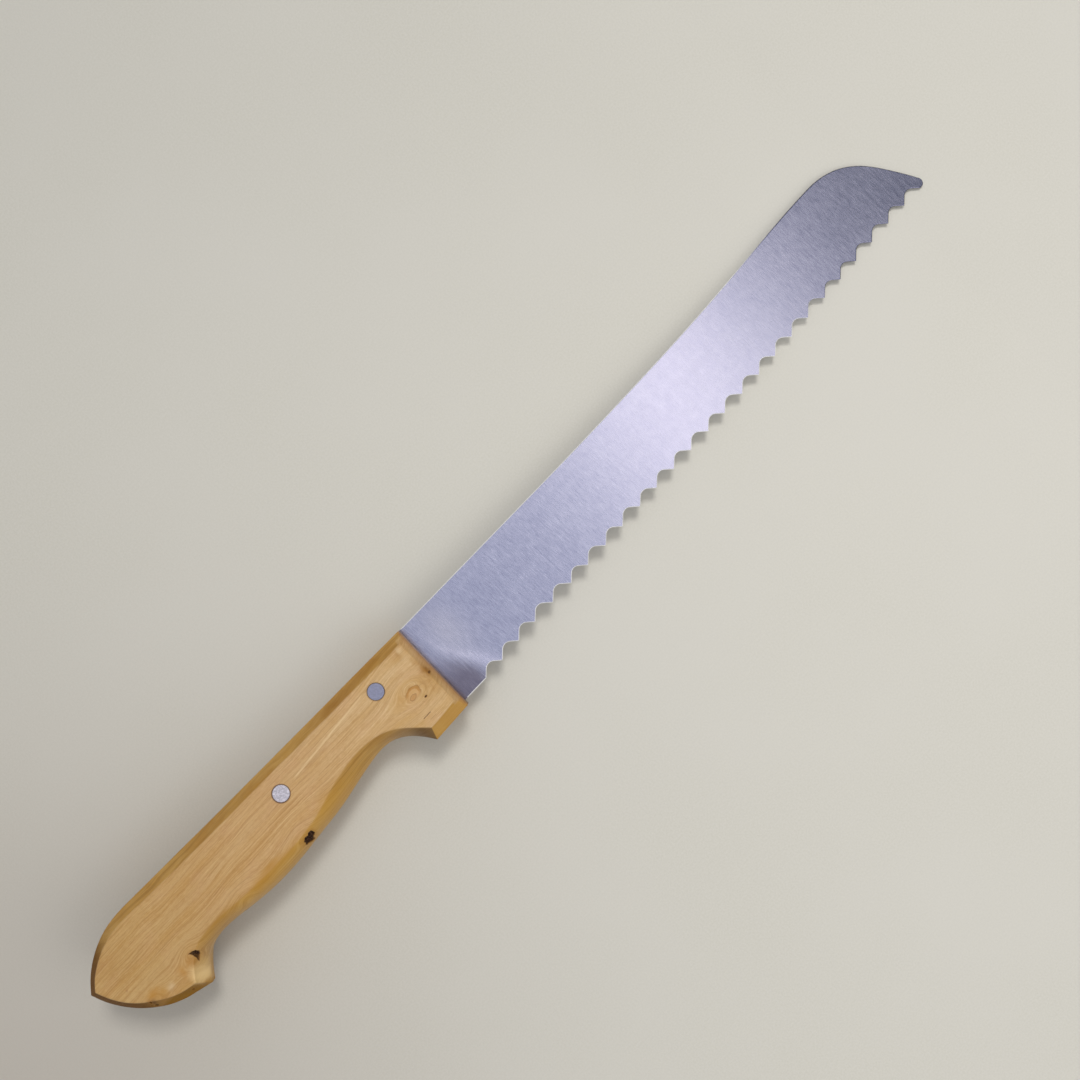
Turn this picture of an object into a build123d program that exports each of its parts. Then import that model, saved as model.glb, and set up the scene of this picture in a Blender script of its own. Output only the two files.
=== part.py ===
from build123d import *
import os
from math import cos, radians, sin, tan

# Bread knife with a sawn-slot wooden handle, lying on its side.
# Millimetres. +X runs along the knife to the tip, +Y from the cutting edge to
# the spine, +Z up through the thickness. The origin is under the middle of the
# knife, on the plane of the handle's lower flat.

# ---------------------------------------------------------------- dimensions
handle_thickness = 18.0      # across the two flats of the handle
mid = handle_thickness / 2   # height of the blade's middle plane
blade_thickness = 1.8        # stock thickness, kept over the tang and ricasso
rim_half = 2.0               # half height of the square rim round the handle
bevel_start = 5.8            # height over the middle plane where bevels start

slot_end_x = -104.6          # bottom of the saw slot in the handle
tang_end_x = -104.0          # end of the half tang
tang_end_radius = 1.5
heel_y = -13.87              # lower edge of the heel and of the tang behind it

pin_diameter = 5.0
pin_centres = [(-52.0, 6.6), (-91.0, 6.1)]

ricasso_end_x = -33.6        # where the flat grind starts to run in
edge_taper = 0.013           # loss of half thickness per mm from spine to edge
tip_taper = 0.001            # loss of half thickness per mm towards the tip
run_in_slope = 0.045         # ramp from the ricasso down to the ground face

flank_angle = 42.0           # each side of a scallop against the edge line
root_radius = 2.25           # rounded bottom of a scallop
grind_angle = 18.0           # scallops are ground from the lower face only

# Blade spine from the handle to the nose (x, y).
blade_spine = [
    (-23.50, 14.00), (-6.90, 13.88), (8.65, 13.76), (25.10, 13.62),
    (38.10, 13.60), (52.95, 13.70), (67.80, 13.88), (82.75, 14.19),
    (94.75, 14.62), (106.80, 15.24), (118.85, 15.99), (126.40, 16.46),
    (133.95, 16.83), (141.55, 17.02), (145.45, 16.93), (147.75, 16.61),
    (150.00, 16.05), (152.30, 15.25), (154.60, 14.09), (156.90, 12.48),
    (159.15, 10.45), (160.70, 8.68), (162.25, 6.60), (163.75, 4.30),
    (165.30, 1.80), (166.80, -0.76), (167.95, -2.80), (168.75, -4.40),
]
nose = [(168.75, -4.40), (169.06, -6.10), (168.10, -7.11)]
# Tooth points along the cutting edge, from the flat heel to the nose.
heel_flat_end = (-28.35, -13.89)
tooth_points = [
    (-21.35, -13.76), (-13.90, -13.34), (-6.60, -12.98), (1.15, -12.84),
    (8.95, -12.85), (16.20, -12.78), (24.00, -12.62), (31.50, -12.34),
    (39.35, -12.02), (46.75, -11.83), (54.35, -11.67), (61.95, -11.51),
    (69.55, -11.35), (76.90, -11.21), (84.65, -11.04), (92.30, -10.70),
    (99.70, -10.39), (107.35, -9.99), (114.90, -9.60), (122.75, -9.10),
    (130.05, -8.71), (137.35, -8.30), (144.80, -7.89), (152.40, -7.56),
    (159.75, -7.32), (167.00, -7.11),
]

# Handle outline, in three runs between its corners, each given twice with the
# same number of stations: the widest line, and the edge of the flat face.
spine_rim = [
    (-35.69, 14.07), (-46.05, 14.28), (-60.25, 14.52), (-77.25, 14.80),
    (-94.15, 15.12), (-111.00, 15.50), (-127.80, 15.94), (-141.70, 16.30),
    (-148.65, 16.30), (-152.80, 15.78), (-156.65, 14.65), (-160.55, 12.85),
    (-164.15, 10.51), (-166.90, 8.08), (-169.15, 5.57),
]
spine_flat = [
    (-37.73, 11.02), (-47.00, 11.12), (-60.20, 11.34), (-76.45, 11.68),
    (-93.20, 12.00), (-109.90, 12.32), (-126.50, 12.78), (-139.70, 13.22),
    (-146.30, 13.46), (-150.70, 13.34), (-154.25, 12.68), (-157.80, 11.36),
    (-161.10, 9.62), (-163.80, 7.66), (-166.05, 5.20),
]
butt_rim = [
    (-169.15, 5.57), (-168.00, 2.09), (-165.70, -2.45), (-162.65, -6.63),
    (-159.55, -9.66), (-155.85, -12.41), (-151.55, -14.62), (-148.00, -15.95),
    (-145.20, -17.02),
]
butt_flat = [
    (-166.05, 5.20), (-165.05, 2.30), (-163.10, -1.62), (-160.55, -4.90),
    (-157.90, -7.35), (-154.80, -9.60), (-151.50, -11.40), (-148.50, -12.55),
    (-145.15, -13.20),
]
grip_rim = [
    (-145.20, -17.02), (-144.00, -15.30), (-142.10, -12.90), (-140.00, -10.75),
    (-136.40, -9.35), (-131.40, -8.90), (-125.90, -9.40), (-119.60, -10.40),
    (-113.30, -11.00), (-107.00, -11.14), (-100.70, -10.80), (-94.35, -10.20),
    (-88.00, -9.65), (-82.45, -8.95), (-76.05, -7.75), (-68.85, -6.52),
    (-63.25, -6.12), (-59.55, -6.85), (-57.40, -7.92), (-55.05, -9.71),
    (-52.65, -12.34), (-50.30, -15.63),
]
grip_flat = [
    (-145.15, -13.20), (-143.00, -10.46), (-140.55, -7.98), (-137.50, -6.05),
    (-133.40, -5.10), (-128.15, -5.18), (-123.10, -5.60), (-117.00, -6.05),
    (-110.80, -6.28), (-104.65, -6.42), (-98.50, -6.40), (-92.30, -5.80),
    (-86.10, -4.70), (-81.25, -3.25), (-74.80, -1.80), (-67.35, -1.28),
    (-61.90, -1.95), (-57.85, -3.46), (-55.30, -5.05), (-53.05, -6.93),
    (-50.80, -9.20), (-48.40, -11.79),
]
front_low_rim = (-37.12, -15.15)
front_low_flat = (-38.52, -11.10)
# Share of the way from rim to flat reached at bevel_start, along the butt and
# along the grip: the hook between them is bevelled right down to the rim.
butt_share = [0.0, 0.0, 0.0, 0.0, 0.0, 0.0, 0.05, 0.25, 0.5]
butt_swell = [
    (a[0] + k * (b[0] - a[0]), a[1] + k * (b[1] - a[1]))
    for a, b, k in zip(butt_rim, butt_flat, butt_share)
]
grip_share = [
    0.5, 0.46, 0.43, 0.42, 0.42, 0.42, 0.42, 0.42, 0.40, 0.40, 0.40,
    0.40, 0.42, 0.44, 0.45, 0.45, 0.45, 0.45, 0.42, 0.35, 0.20, 0.0,
]
grip_swell = [
    (a[0] + k * (b[0] - a[0]), a[1] + k * (b[1] - a[1]))
    for a, b, k in zip(grip_rim, grip_flat, grip_share)
]

# ------------------------------------------------------------ derived points
rise = tan(radians(flank_angle))


def scallop_apex(p, q):
    """Where the two flanks between tooth points p and q would meet."""
    x = (p[0] + q[0]) / 2 + (q[1] - p[1]) / (2 * rise)
    return (x, p[1] + (x - p[0]) * rise)


edge_points = [heel_flat_end] + tooth_points
apexes = [scallop_apex(p, q) for p, q in zip(edge_points, edge_points[1:])]

# Upper ground face: half thickness falls to the edge and to the tip.
ground_zero = (
    mid + blade_thickness / 2 - edge_taper * 14.0 + tip_taper * ricasso_end_x
)
ground_plane = Plane(
    origin=(0, 0, ground_zero), x_dir=(1, 0, -tip_taper), z_dir=(tip_taper, -edge_taper, 1)
)
run_in_plane = Plane(
    origin=(ricasso_end_x, 0, mid + blade_thickness / 2),
    x_dir=(1, 0, -run_in_slope),
    z_dir=(run_in_slope, 0, 1),
)

os.makedirs("parts", exist_ok=True)

# --------------------------------------------- relief over the ground faces
with BuildPart() as upper_relief:
    with BuildSketch(Plane.XY.offset(mid - 1)) as relief_area:
        with Locations((ricasso_end_x, 0)):
            Rectangle(230, 60, align=(Align.MIN, Align.CENTER))
    extrude(amount=4)
    split(bisect_by=ground_plane, keep=Keep.TOP)
    split(bisect_by=run_in_plane, keep=Keep.TOP)

# ------------------------------------------------- cutter for the scallops
with BuildPart() as scallop_cutter:
    with BuildSketch(ground_plane) as scallop_profile:
        with BuildLine():
            start = (edge_points[0][0] - 11 / rise, edge_points[0][1] - 11)
            end = (edge_points[-1][0] + 17 / rise, edge_points[-1][1] - 17)
            line_points = [start]
            for apex, tooth in zip(apexes, edge_points[1:]):
                line_points += [apex, tooth]
            line_points[-1] = end
            Polyline(*line_points, (end[0], -27), (start[0], -27), close=True)
        make_face()
        roots = [
            v
            for v in scallop_profile.vertices()
            if any(abs(v.X - a[0]) < 0.01 and abs(v.Y - a[1]) < 0.01 for a in apexes)
        ]
        fillet(roots, root_radius)
    extrude(
        amount=8,
        dir=(0, cos(radians(grind_angle)), -sin(radians(grind_angle))),
        both=True,
    )

# ------------------------------------------------------ blade with half tang
with BuildPart() as blade:
    with BuildSketch(Plane.XY.offset(mid - blade_thickness / 2)) as blade_profile:
        with BuildLine():
            Spline(spine_rim[0], *blade_spine)
            ThreePointArc(*nose)
            Polyline(nose[-1], *reversed(edge_points), (-45, heel_y), (-45, 12), spine_rim[0])
        make_face()
    extrude(amount=blade_thickness)
    with BuildSketch(Plane.XY.offset(mid - blade_thickness / 2)) as tang_profile:
        with BuildLine():
            Spline(*spine_rim)
            Spline(*butt_rim)
            Spline(*grip_rim)
            Polyline(grip_rim[-1], front_low_rim, spine_rim[0])
        make_face()
        with Locations((tang_end_x, heel_y)):
            Rectangle(200, 60, align=(Align.MIN, Align.MIN), mode=Mode.INTERSECT)
        fillet(tang_profile.vertices().sort_by(Axis.X)[0:2], tang_end_radius)
    extrude(amount=blade_thickness)
    add(upper_relief.part, mode=Mode.SUBTRACT)
    add(upper_relief.part.mirror(Plane.XY.offset(mid)), mode=Mode.SUBTRACT)
    add(scallop_cutter.part, mode=Mode.SUBTRACT)
    with Locations(*[(x, y, mid) for x, y in pin_centres]):
        Cylinder(pin_diameter / 2, 4, mode=Mode.SUBTRACT)

blade.part.label = "blade"
export_step(blade.part, "parts/blade.step")

# ------------------------------------------- one-piece handle with saw slot
with BuildPart() as handle:
    for level, run2, run3 in (
        (rim_half, butt_rim, grip_rim),
        (bevel_start, butt_swell, grip_swell),
    ):
        with BuildSketch(Plane.XY.offset(mid + level)):
            with BuildLine():
                Spline(*spine_rim)
                Spline(*run2)
                Spline(*run3)
                Polyline(run3[-1], front_low_rim, spine_rim[0])
            make_face()
    with BuildSketch(Plane.XY.offset(mid + mid)):
        with BuildLine():
            Spline(*spine_flat)
            Spline(*butt_flat)
            Spline(*grip_flat)
            Polyline(grip_flat[-1], front_low_flat, spine_flat[0])
        make_face()
    loft(ruled=True)
    with BuildSketch(Plane.XY.offset(mid)) as rim_profile:
        with BuildLine():
            Spline(*spine_rim)
            Spline(*butt_rim)
            Spline(*grip_rim)
            Polyline(grip_rim[-1], front_low_rim, spine_rim[0])
        make_face()
    extrude(amount=rim_half)
    mirror(about=Plane.XY.offset(mid))
    with BuildSketch(Plane.XY.offset(mid - blade_thickness / 2)) as slot_area:
        with Locations((slot_end_x, 0)):
            Rectangle(120, 60, align=(Align.MIN, Align.CENTER))
    extrude(amount=blade_thickness, mode=Mode.SUBTRACT)
    with Locations(*[(x, y, mid) for x, y in pin_centres]):
        Cylinder(pin_diameter / 2, handle_thickness + 2, mode=Mode.SUBTRACT)

handle.part.label = "handle"
export_step(handle.part, "parts/handle.step")

# ------------------------------------------------------------------ the pins
with BuildPart() as front_pin:
    with BuildSketch(Plane.XY):
        with Locations(pin_centres[0]):
            Circle(pin_diameter / 2)
    extrude(amount=handle_thickness)

front_pin.part.label = "front_pin"
export_step(front_pin.part, "parts/front_pin.step")

with BuildPart() as rear_pin:
    with BuildSketch(Plane.XY):
        with Locations(pin_centres[1]):
            Circle(pin_diameter / 2)
    extrude(amount=handle_thickness)

rear_pin.part.label = "rear_pin"
export_step(rear_pin.part, "parts/rear_pin.step")
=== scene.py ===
import math

import bmesh
import bpy
import numpy as np
from mathutils import Matrix, Vector
from mathutils.geometry import delaunay_2d_cdt


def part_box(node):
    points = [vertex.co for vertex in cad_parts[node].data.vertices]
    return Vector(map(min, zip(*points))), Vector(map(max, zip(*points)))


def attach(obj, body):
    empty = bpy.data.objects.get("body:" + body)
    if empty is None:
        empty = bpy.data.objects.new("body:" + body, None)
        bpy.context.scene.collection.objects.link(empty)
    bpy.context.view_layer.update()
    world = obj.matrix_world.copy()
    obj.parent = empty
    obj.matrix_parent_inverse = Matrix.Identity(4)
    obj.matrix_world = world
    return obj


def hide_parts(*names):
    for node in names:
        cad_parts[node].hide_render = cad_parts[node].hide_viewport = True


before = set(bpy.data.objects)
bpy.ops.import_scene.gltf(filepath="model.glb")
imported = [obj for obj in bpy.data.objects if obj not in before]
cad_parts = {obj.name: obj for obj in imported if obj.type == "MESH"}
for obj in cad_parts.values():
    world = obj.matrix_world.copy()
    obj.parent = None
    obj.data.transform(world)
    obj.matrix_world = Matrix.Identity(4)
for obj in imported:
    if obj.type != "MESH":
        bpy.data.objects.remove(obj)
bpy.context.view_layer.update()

# Working units in this script are millimetres until a mesh is written; the
# outlines below are the knife's own, and are shifted to where the packed
# handle and pins really are.
MM = 0.001
handle_lo, handle_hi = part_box("handle")
blade_lo, blade_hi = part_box("blade")
BOTTOM = handle_lo.z / MM
TOP = handle_hi.z / MM
MID = (BOTTOM + TOP) / 2
SHIFT = np.array([handle_lo.x / MM + 169.15, handle_lo.y / MM + 17.02])


def pin_centre(node):
    lo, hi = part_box(node)
    return np.array([(lo.x + hi.x) / 2, (lo.y + hi.y) / 2]) / MM


PINS = {"front_pin": pin_centre("front_pin"), "rear_pin": pin_centre("rear_pin")}
PIN_RADIUS = (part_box("front_pin")[1].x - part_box("front_pin")[0].x) / MM / 2
STEEL_HALF = (blade_hi.z - blade_lo.z) / MM / 2

# ------------------------------------------------------------------ outlines
BLADE_SPINE = [
    (-35.69, 14.07), (-23.50, 14.00), (-6.90, 13.88), (8.65, 13.76), (25.10, 13.62),
    (38.10, 13.60), (52.95, 13.70), (67.80, 13.88), (82.75, 14.19),
    (94.75, 14.62), (106.80, 15.24), (118.85, 15.99), (126.40, 16.46),
    (133.95, 16.83), (141.55, 17.02), (145.45, 16.93), (147.75, 16.61),
    (150.00, 16.05), (152.30, 15.25), (154.60, 14.09), (156.90, 12.48),
    (159.15, 10.45), (160.70, 8.68), (162.25, 6.60), (163.75, 4.30),
    (165.30, 1.80), (166.80, -0.76), (167.95, -2.80), (168.75, -4.40),
]
NOSE = [(168.75, -4.40), (169.06, -6.10), (168.10, -7.11)]
HEEL_Y = -13.87
HEEL_END = (-28.35, -13.89)
TEETH = [
    (-21.35, -13.76), (-13.90, -13.34), (-6.60, -12.98), (1.15, -12.84),
    (8.95, -12.85), (16.20, -12.78), (24.00, -12.62), (31.50, -12.34),
    (39.35, -12.02), (46.75, -11.83), (54.35, -11.67), (61.95, -11.51),
    (69.55, -11.35), (76.90, -11.21), (84.65, -11.04), (92.30, -10.70),
    (99.70, -10.39), (107.35, -9.99), (114.90, -9.60), (122.75, -9.10),
    (130.05, -8.71), (137.35, -8.30), (144.80, -7.89), (152.40, -7.56),
    (159.75, -7.32), (167.00, -7.11),
]
SPINE_RIM = [
    (-35.69, 14.07), (-46.05, 14.28), (-60.25, 14.52), (-77.25, 14.80),
    (-94.15, 15.12), (-111.00, 15.50), (-127.80, 15.94), (-141.70, 16.30),
    (-148.65, 16.30), (-152.80, 15.78), (-156.65, 14.65), (-160.55, 12.85),
    (-164.15, 10.51), (-166.90, 8.08), (-169.15, 5.57),
]
SPINE_FLAT = [
    (-37.73, 11.02), (-47.00, 11.12), (-60.20, 11.34), (-76.45, 11.68),
    (-93.20, 12.00), (-109.90, 12.32), (-126.50, 12.78), (-139.70, 13.22),
    (-146.30, 13.46), (-150.70, 13.34), (-154.25, 12.68), (-157.80, 11.36),
    (-161.10, 9.62), (-163.80, 7.66), (-166.05, 5.20),
]
BUTT_RIM = [
    (-169.15, 5.57), (-168.00, 2.09), (-165.70, -2.45), (-162.65, -6.63),
    (-159.55, -9.66), (-155.85, -12.41), (-151.55, -14.62), (-148.00, -15.95),
    (-145.20, -17.02),
]
BUTT_FLAT = [
    (-166.05, 5.20), (-165.05, 2.30), (-163.10, -1.62), (-160.55, -4.90),
    (-157.90, -7.35), (-154.80, -9.60), (-151.50, -11.40), (-148.50, -12.55),
    (-145.15, -13.20),
]
GRIP_RIM = [
    (-145.20, -17.02), (-144.00, -15.30), (-142.10, -12.90), (-140.00, -10.75),
    (-136.40, -9.35), (-131.40, -8.90), (-125.90, -9.40), (-119.60, -10.40),
    (-113.30, -11.00), (-107.00, -11.14), (-100.70, -10.80), (-94.35, -10.20),
    (-88.00, -9.65), (-82.45, -8.95), (-76.05, -7.75), (-68.85, -6.52),
    (-63.25, -6.12), (-59.55, -6.85), (-57.40, -7.92), (-55.05, -9.71),
    (-52.65, -12.34), (-50.30, -15.63),
]
GRIP_FLAT = [
    (-145.15, -13.20), (-143.00, -10.46), (-140.55, -7.98), (-137.50, -6.05),
    (-133.40, -5.10), (-128.15, -5.18), (-123.10, -5.60), (-117.00, -6.05),
    (-110.80, -6.28), (-104.65, -6.42), (-98.50, -6.40), (-92.30, -5.80),
    (-86.10, -4.70), (-81.25, -3.25), (-74.80, -1.80), (-67.35, -1.28),
    (-61.90, -1.95), (-57.85, -3.46), (-55.30, -5.05), (-53.05, -6.93),
    (-50.80, -9.20), (-48.40, -11.79),
]
FRONT_LOW_RIM = (-37.12, -15.15)
FRONT_LOW_FLAT = (-38.52, -11.10)
# Along the butt's stations: height where its bevel starts.
BUTT_START = [14.8, 14.8, 14.8, 14.8, 14.8, 14.7, 14.0, 12.0, 10.3]
# Along the grip's stations: height where the rounding starts, how far it
# bulges, and how soft its edge with the flat is.
GRIP_START = [
    10.3, 10.4, 10.7, 11.0, 11.0, 11.0, 11.0, 11.0, 11.0, 11.0, 11.0,
    11.0, 11.0, 11.0, 11.0, 11.0, 11.0, 11.2, 11.6, 12.4, 13.6, 14.8,
]
GRIP_BULGE = [
    0.0, 0.10, 0.30, 0.45, 0.55, 0.55, 0.55, 0.55, 0.55, 0.55, 0.55,
    0.55, 0.50, 0.45, 0.40, 0.35, 0.30, 0.30, 0.25, 0.20, 0.10, 0.0,
]
GRIP_SOFT = [
    0.15, 0.24, 0.40, 0.50, 0.50, 0.50, 0.50, 0.50, 0.50, 0.50, 0.50,
    0.50, 0.45, 0.35, 0.30, 0.24, 0.20, 0.18, 0.16, 0.15, 0.15, 0.14,
]
SLOT_END = -104.6
TANG_END = -104.0
WALL_TOP = 14.8          # height where the straight bevels start


# ----------------------------------------------------------- curve functions
def spline(t, points, at):
    """Natural cubic spline through points at parameters t."""
    t, p, at = np.asarray(t, float), np.asarray(points, float), np.asarray(at, float)
    if p.ndim == 1:
        p = p[:, None]
    n = len(t)
    h = np.diff(t)
    a = np.zeros((n, n))
    b = np.zeros((n, p.shape[1]))
    a[0, 0] = a[-1, -1] = 1
    for i in range(1, n - 1):
        a[i, i - 1], a[i, i], a[i, i + 1] = h[i - 1], 2 * (h[i - 1] + h[i]), h[i]
        b[i] = 6 * ((p[i + 1] - p[i]) / h[i] - (p[i] - p[i - 1]) / h[i - 1])
    m = np.linalg.solve(a, b)
    k = np.clip(np.searchsorted(t, at, side="right") - 1, 0, n - 2)
    hk = h[k][:, None]
    u, v = (t[k + 1] - at)[:, None], (at - t[k])[:, None]
    return (
        m[k] * u**3 / (6 * hk) + m[k + 1] * v**3 / (6 * hk)
        + (p[k] / hk - m[k] * hk / 6) * u + (p[k + 1] / hk - m[k + 1] * hk / 6) * v
    )


def chords(points):
    p = np.asarray(points, float)
    return np.concatenate([[0], np.cumsum(np.linalg.norm(np.diff(p, axis=0), axis=1))])


def spaced(length, step, ends=(0.0, 0.07, 0.14, 0.22, 0.31, 0.42, 0.57, 0.78)):
    """Distances along a run: close together by its two ends, even between."""
    ends = [e for e in ends if e < length * 0.4]
    inner_a, inner_b = ends[-1] + step * 0.7, length - ends[-1] - step * 0.7
    n = max(2, int(round((inner_b - inner_a) / step)) + 1)
    return np.array(ends + list(np.linspace(inner_a, inner_b, n)) + [length - e for e in reversed(ends)])


def waves(seed, count, shortest, longest):
    """A smooth random function of (x, y, z) in mm, about -1 to 1."""
    g = np.random.default_rng(seed)
    length = np.exp(g.uniform(math.log(shortest), math.log(longest), count))
    d = g.normal(size=(count, 3))
    d /= np.linalg.norm(d, axis=1)[:, None]
    k = d * (2 * math.pi / length)[:, None]
    phase = g.uniform(0, 2 * math.pi, count)
    amp = length**0.5
    amp /= amp.sum()

    def value(p):
        p = np.asarray(p, float)
        return 2.2 * (np.sin(p @ k.T + phase) * amp).sum(-1)

    return value


# ------------------------------------------------------------ mesh functions
class Shell:
    """Vertices in mm and faces, collected before they become one mesh."""

    def __init__(self):
        self.points = []
        self.faces = []

    def add(self, pts):
        start = len(self.points)
        self.points.extend(np.asarray(pts, float).reshape(-1, 3).tolist())
        return np.arange(start, len(self.points))

    def strip(self, a, b, closed=False):
        n = len(a)
        for i in range(n if closed else n - 1):
            j = (i + 1) % n
            self.faces.append((int(a[i]), int(a[j]), int(b[j]), int(b[i])))

    def fill(self, ring, holes, step, height, up=True, extra=None, seed=1):
        """Covers the flat area inside ring, outside holes, with small triangles."""
        loops = [list(map(int, ring))] + [list(map(int, h)) for h in holes]
        xy = np.array([self.points[i][:2] for loop in loops for i in loop])
        ids = [i for loop in loops for i in loop]
        edges, polys, at = [], [], 0
        for loop in loops:
            n = len(loop)
            edges += [(at + k, at + (k + 1) % n) for k in range(n)]
            polys.append(xy[at:at + n])
            at += n
        lo, hi = polys[0].min(0), polys[0].max(0)
        g = np.random.default_rng(seed)
        rows = np.arange(lo[1], hi[1], step * 0.866)
        pts = np.concatenate([
            np.c_[np.arange(lo[0] + (k % 2) * step / 2, hi[0], step), np.full(len(np.arange(lo[0] + (k % 2) * step / 2, hi[0], step)), y)]
            for k, y in enumerate(rows)
        ])
        pts = pts + g.uniform(-0.12, 0.12, pts.shape) * step
        gap = np.full(len(pts), 0.5 * step)
        if extra is not None and len(extra):
            pts = np.concatenate([pts, extra[0]])
            gap = np.concatenate([gap, np.full(len(extra[0]), 0.5 * extra[1])])
        inside = within(pts, polys[0])
        for hole in polys[1:]:
            inside &= ~within(pts, hole)
        pts, gap = pts[inside], gap[inside]
        near = np.empty(len(pts))
        for k in range(0, len(pts), 2000):
            d = pts[k:k + 2000, None, :] - xy[None, :, :]
            near[k:k + 2000] = np.sqrt((d**2).sum(-1).min(1))
        pts = pts[near > gap]
        everything = np.concatenate([xy, pts])
        out = delaunay_2d_cdt([Vector(p) for p in everything], edges, [], 0, 1e-7)
        verts, _, faces, from_verts = out[0], out[1], out[2], out[3]
        co = np.array([tuple(v) for v in verts])
        tri = np.array([tuple(f) for f in faces if len(f) == 3])
        # inside or outside is decided by crossing the loops, so that the
        # thinnest triangles along a straight edge are sorted rightly as well
        walls = {(min(e), max(e)) for e, source in zip(out[1], out[4]) if len(source)}
        sides = {}
        for k, (a, b, c) in enumerate(tri.tolist()):
            for e in ((a, b), (b, c), (c, a)):
                sides.setdefault((min(e), max(e)), []).append(k)
        around = [[] for _ in tri]
        state = np.full(len(tri), -1)
        todo = []
        for e, ks in sides.items():
            crossing = int(e in walls)
            for k in ks:
                around[k].append((ks, crossing))
            if len(ks) == 1 and state[ks[0]] < 0:
                state[ks[0]] = crossing
                todo.append(ks[0])
        while todo:
            k = todo.pop()
            for ks, crossing in around[k]:
                for j in ks:
                    if state[j] < 0:
                        state[j] = state[k] ^ crossing
                        todo.append(j)
        keep = state == 1
        index = np.full(len(co), -1)
        for k, source in enumerate(from_verts):
            real = [s for s in source if s < len(ids)]
            if real:
                index[k] = ids[real[0]]
        new = np.where(index < 0)[0]
        used = np.unique(tri[keep])
        new = np.intersect1d(new, used)
        index[new] = self.add(np.c_[co[new], height(co[new])])
        for f in tri[keep]:
            a, b, c = (int(index[k]) for k in f)
            self.faces.append((a, b, c) if up else (c, b, a))
        return index[new]

    def to_object(self, name):
        mesh = bpy.data.meshes.new(name)
        mesh.from_pydata([tuple(np.array(p) * MM) for p in self.points], [], self.faces)
        mesh.update()
        obj = bpy.data.objects.new(name, mesh)
        bpy.context.scene.collection.objects.link(obj)
        return obj


def within(points, poly):
    """Which points lie inside a closed polygon."""
    points, poly = np.asarray(points), np.asarray(poly)
    inside = np.zeros(len(points), bool)
    x1, y1 = poly[:, 0], poly[:, 1]
    x2, y2 = np.roll(x1, -1), np.roll(y1, -1)
    for k in range(0, len(points), 4000):
        px, py = points[k:k + 4000, 0][:, None], points[k:k + 4000, 1][:, None]
        cross = ((y1 > py) != (y2 > py)) & (
            px < (x2 - x1) * (py - y1) / np.where(y2 == y1, 1e-12, y2 - y1) + x1
        )
        inside[k:k + 4000] = cross.sum(1) % 2 == 1
    return inside


def circle(centre, radius, n, z):
    a = np.linspace(0, 2 * math.pi, n, endpoint=False)
    return np.c_[centre[0] + radius * np.cos(a), centre[1] + radius * np.sin(a), np.full(n, z)]


def finish_mesh(obj, angle):
    """Consistent normals, smooth faces, and sharp edges over an angle."""
    bm = bmesh.new()
    bm.from_mesh(obj.data)
    bmesh.ops.recalc_face_normals(bm, faces=bm.faces)
    for f in bm.faces:
        f.smooth = True
    for e in bm.edges:
        e.smooth = not (len(e.link_faces) == 2 and e.calc_face_angle(0) > math.radians(angle))
    bm.to_mesh(obj.data)
    bm.free()
    obj.data.update()


def smooth01(x, lo, hi):
    t = np.clip((np.asarray(x, float) - lo) / (hi - lo), 0, 1)
    return t * t * (3 - 2 * t)


# -------------------------------------------------------------------- handle
def handle_perimeter():
    """Samples round the handle, seen from above against the clock."""
    parts = []
    runs = [
        ("spine", SPINE_RIM, SPINE_FLAT, 0.45),
        ("butt", BUTT_RIM, BUTT_FLAT, 0.42),
        ("grip", GRIP_RIM, GRIP_FLAT, 0.40),
        ("guard", [GRIP_RIM[-1], FRONT_LOW_RIM], [GRIP_FLAT[-1], FRONT_LOW_FLAT], 0.45),
        ("front", [FRONT_LOW_RIM, SPINE_RIM[0]], [FRONT_LOW_FLAT, SPINE_FLAT[0]], 0.45),
    ]
    for kind, rim, flat, step in runs:
        t = chords(rim)
        fine = np.linspace(0, t[-1], 3000)
        line = spline(t, rim, fine) if len(t) > 2 else np.array(rim[0]) + (fine / t[-1])[:, None] * (np.array(rim[1]) - np.array(rim[0]))
        arc = chords(line)
        s = spaced(arc[-1], step)
        if kind in ("spine", "grip"):
            cross = np.interp(0, (line[:, 0] - SLOT_END) * (1 if kind == "grip" else -1), arc)
            s[np.argmin(abs(s - cross))] = cross
        at = np.interp(s, arc, fine)
        if len(t) > 2:
            r, f = spline(t, rim, at), spline(t, flat, at)
        else:
            w = (at / t[-1])[:, None]
            r = np.array(rim[0]) * (1 - w) + np.array(rim[1]) * w
            f = np.array(flat[0]) * (1 - w) + np.array(flat[1]) * w
        n = len(s)
        if kind == "grip":
            start, bulge, soft = (np.interp(at, t, v) for v in (GRIP_START, GRIP_BULGE, GRIP_SOFT))
            low = np.full(n, 0.5)
            low[:3] = low[-3:] = 0.15
            low = np.interp(s, [0, 1.5, arc[-1] - 3, arc[-1]], [0.14, 0.5, 0.4, 0.14])
        else:
            start, bulge, soft, low = np.full(n, WALL_TOP), np.zeros(n), np.full(n, 0.13), np.full(n, 0.15)
            if kind == "butt":
                start = np.interp(at, t, BUTT_START)
            if kind == "front":
                soft = np.interp(s, [0, 1.2, arc[-1] - 1.2, arc[-1]], [0.14, 0.42, 0.42, 0.14])
        parts.append((r[:-1], f[:-1], start[:-1], bulge[:-1], soft[:-1], low[:-1], np.full(n - 1, len(parts))))
    return [np.concatenate(v) for v in zip(*parts)]


WALL_ROWS = [0, 0.25, 0.5, 0.72, 0.86, 0.94, 0.98]
BEVEL_ROWS = [0, 0.02, 0.06, 0.13, 0.22, 0.31, 0.40, 0.5, 0.6, 0.7, 0.8, 0.88, 0.94, 0.98]
FLAT_ROWS = [0, 0.05, 0.14, 0.32, 0.62, 1.0]
N_WALL, N_BEVEL, N_FLAT, N_EXTRA = 60, 100, 32, 12
INSET = 1.2


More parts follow.
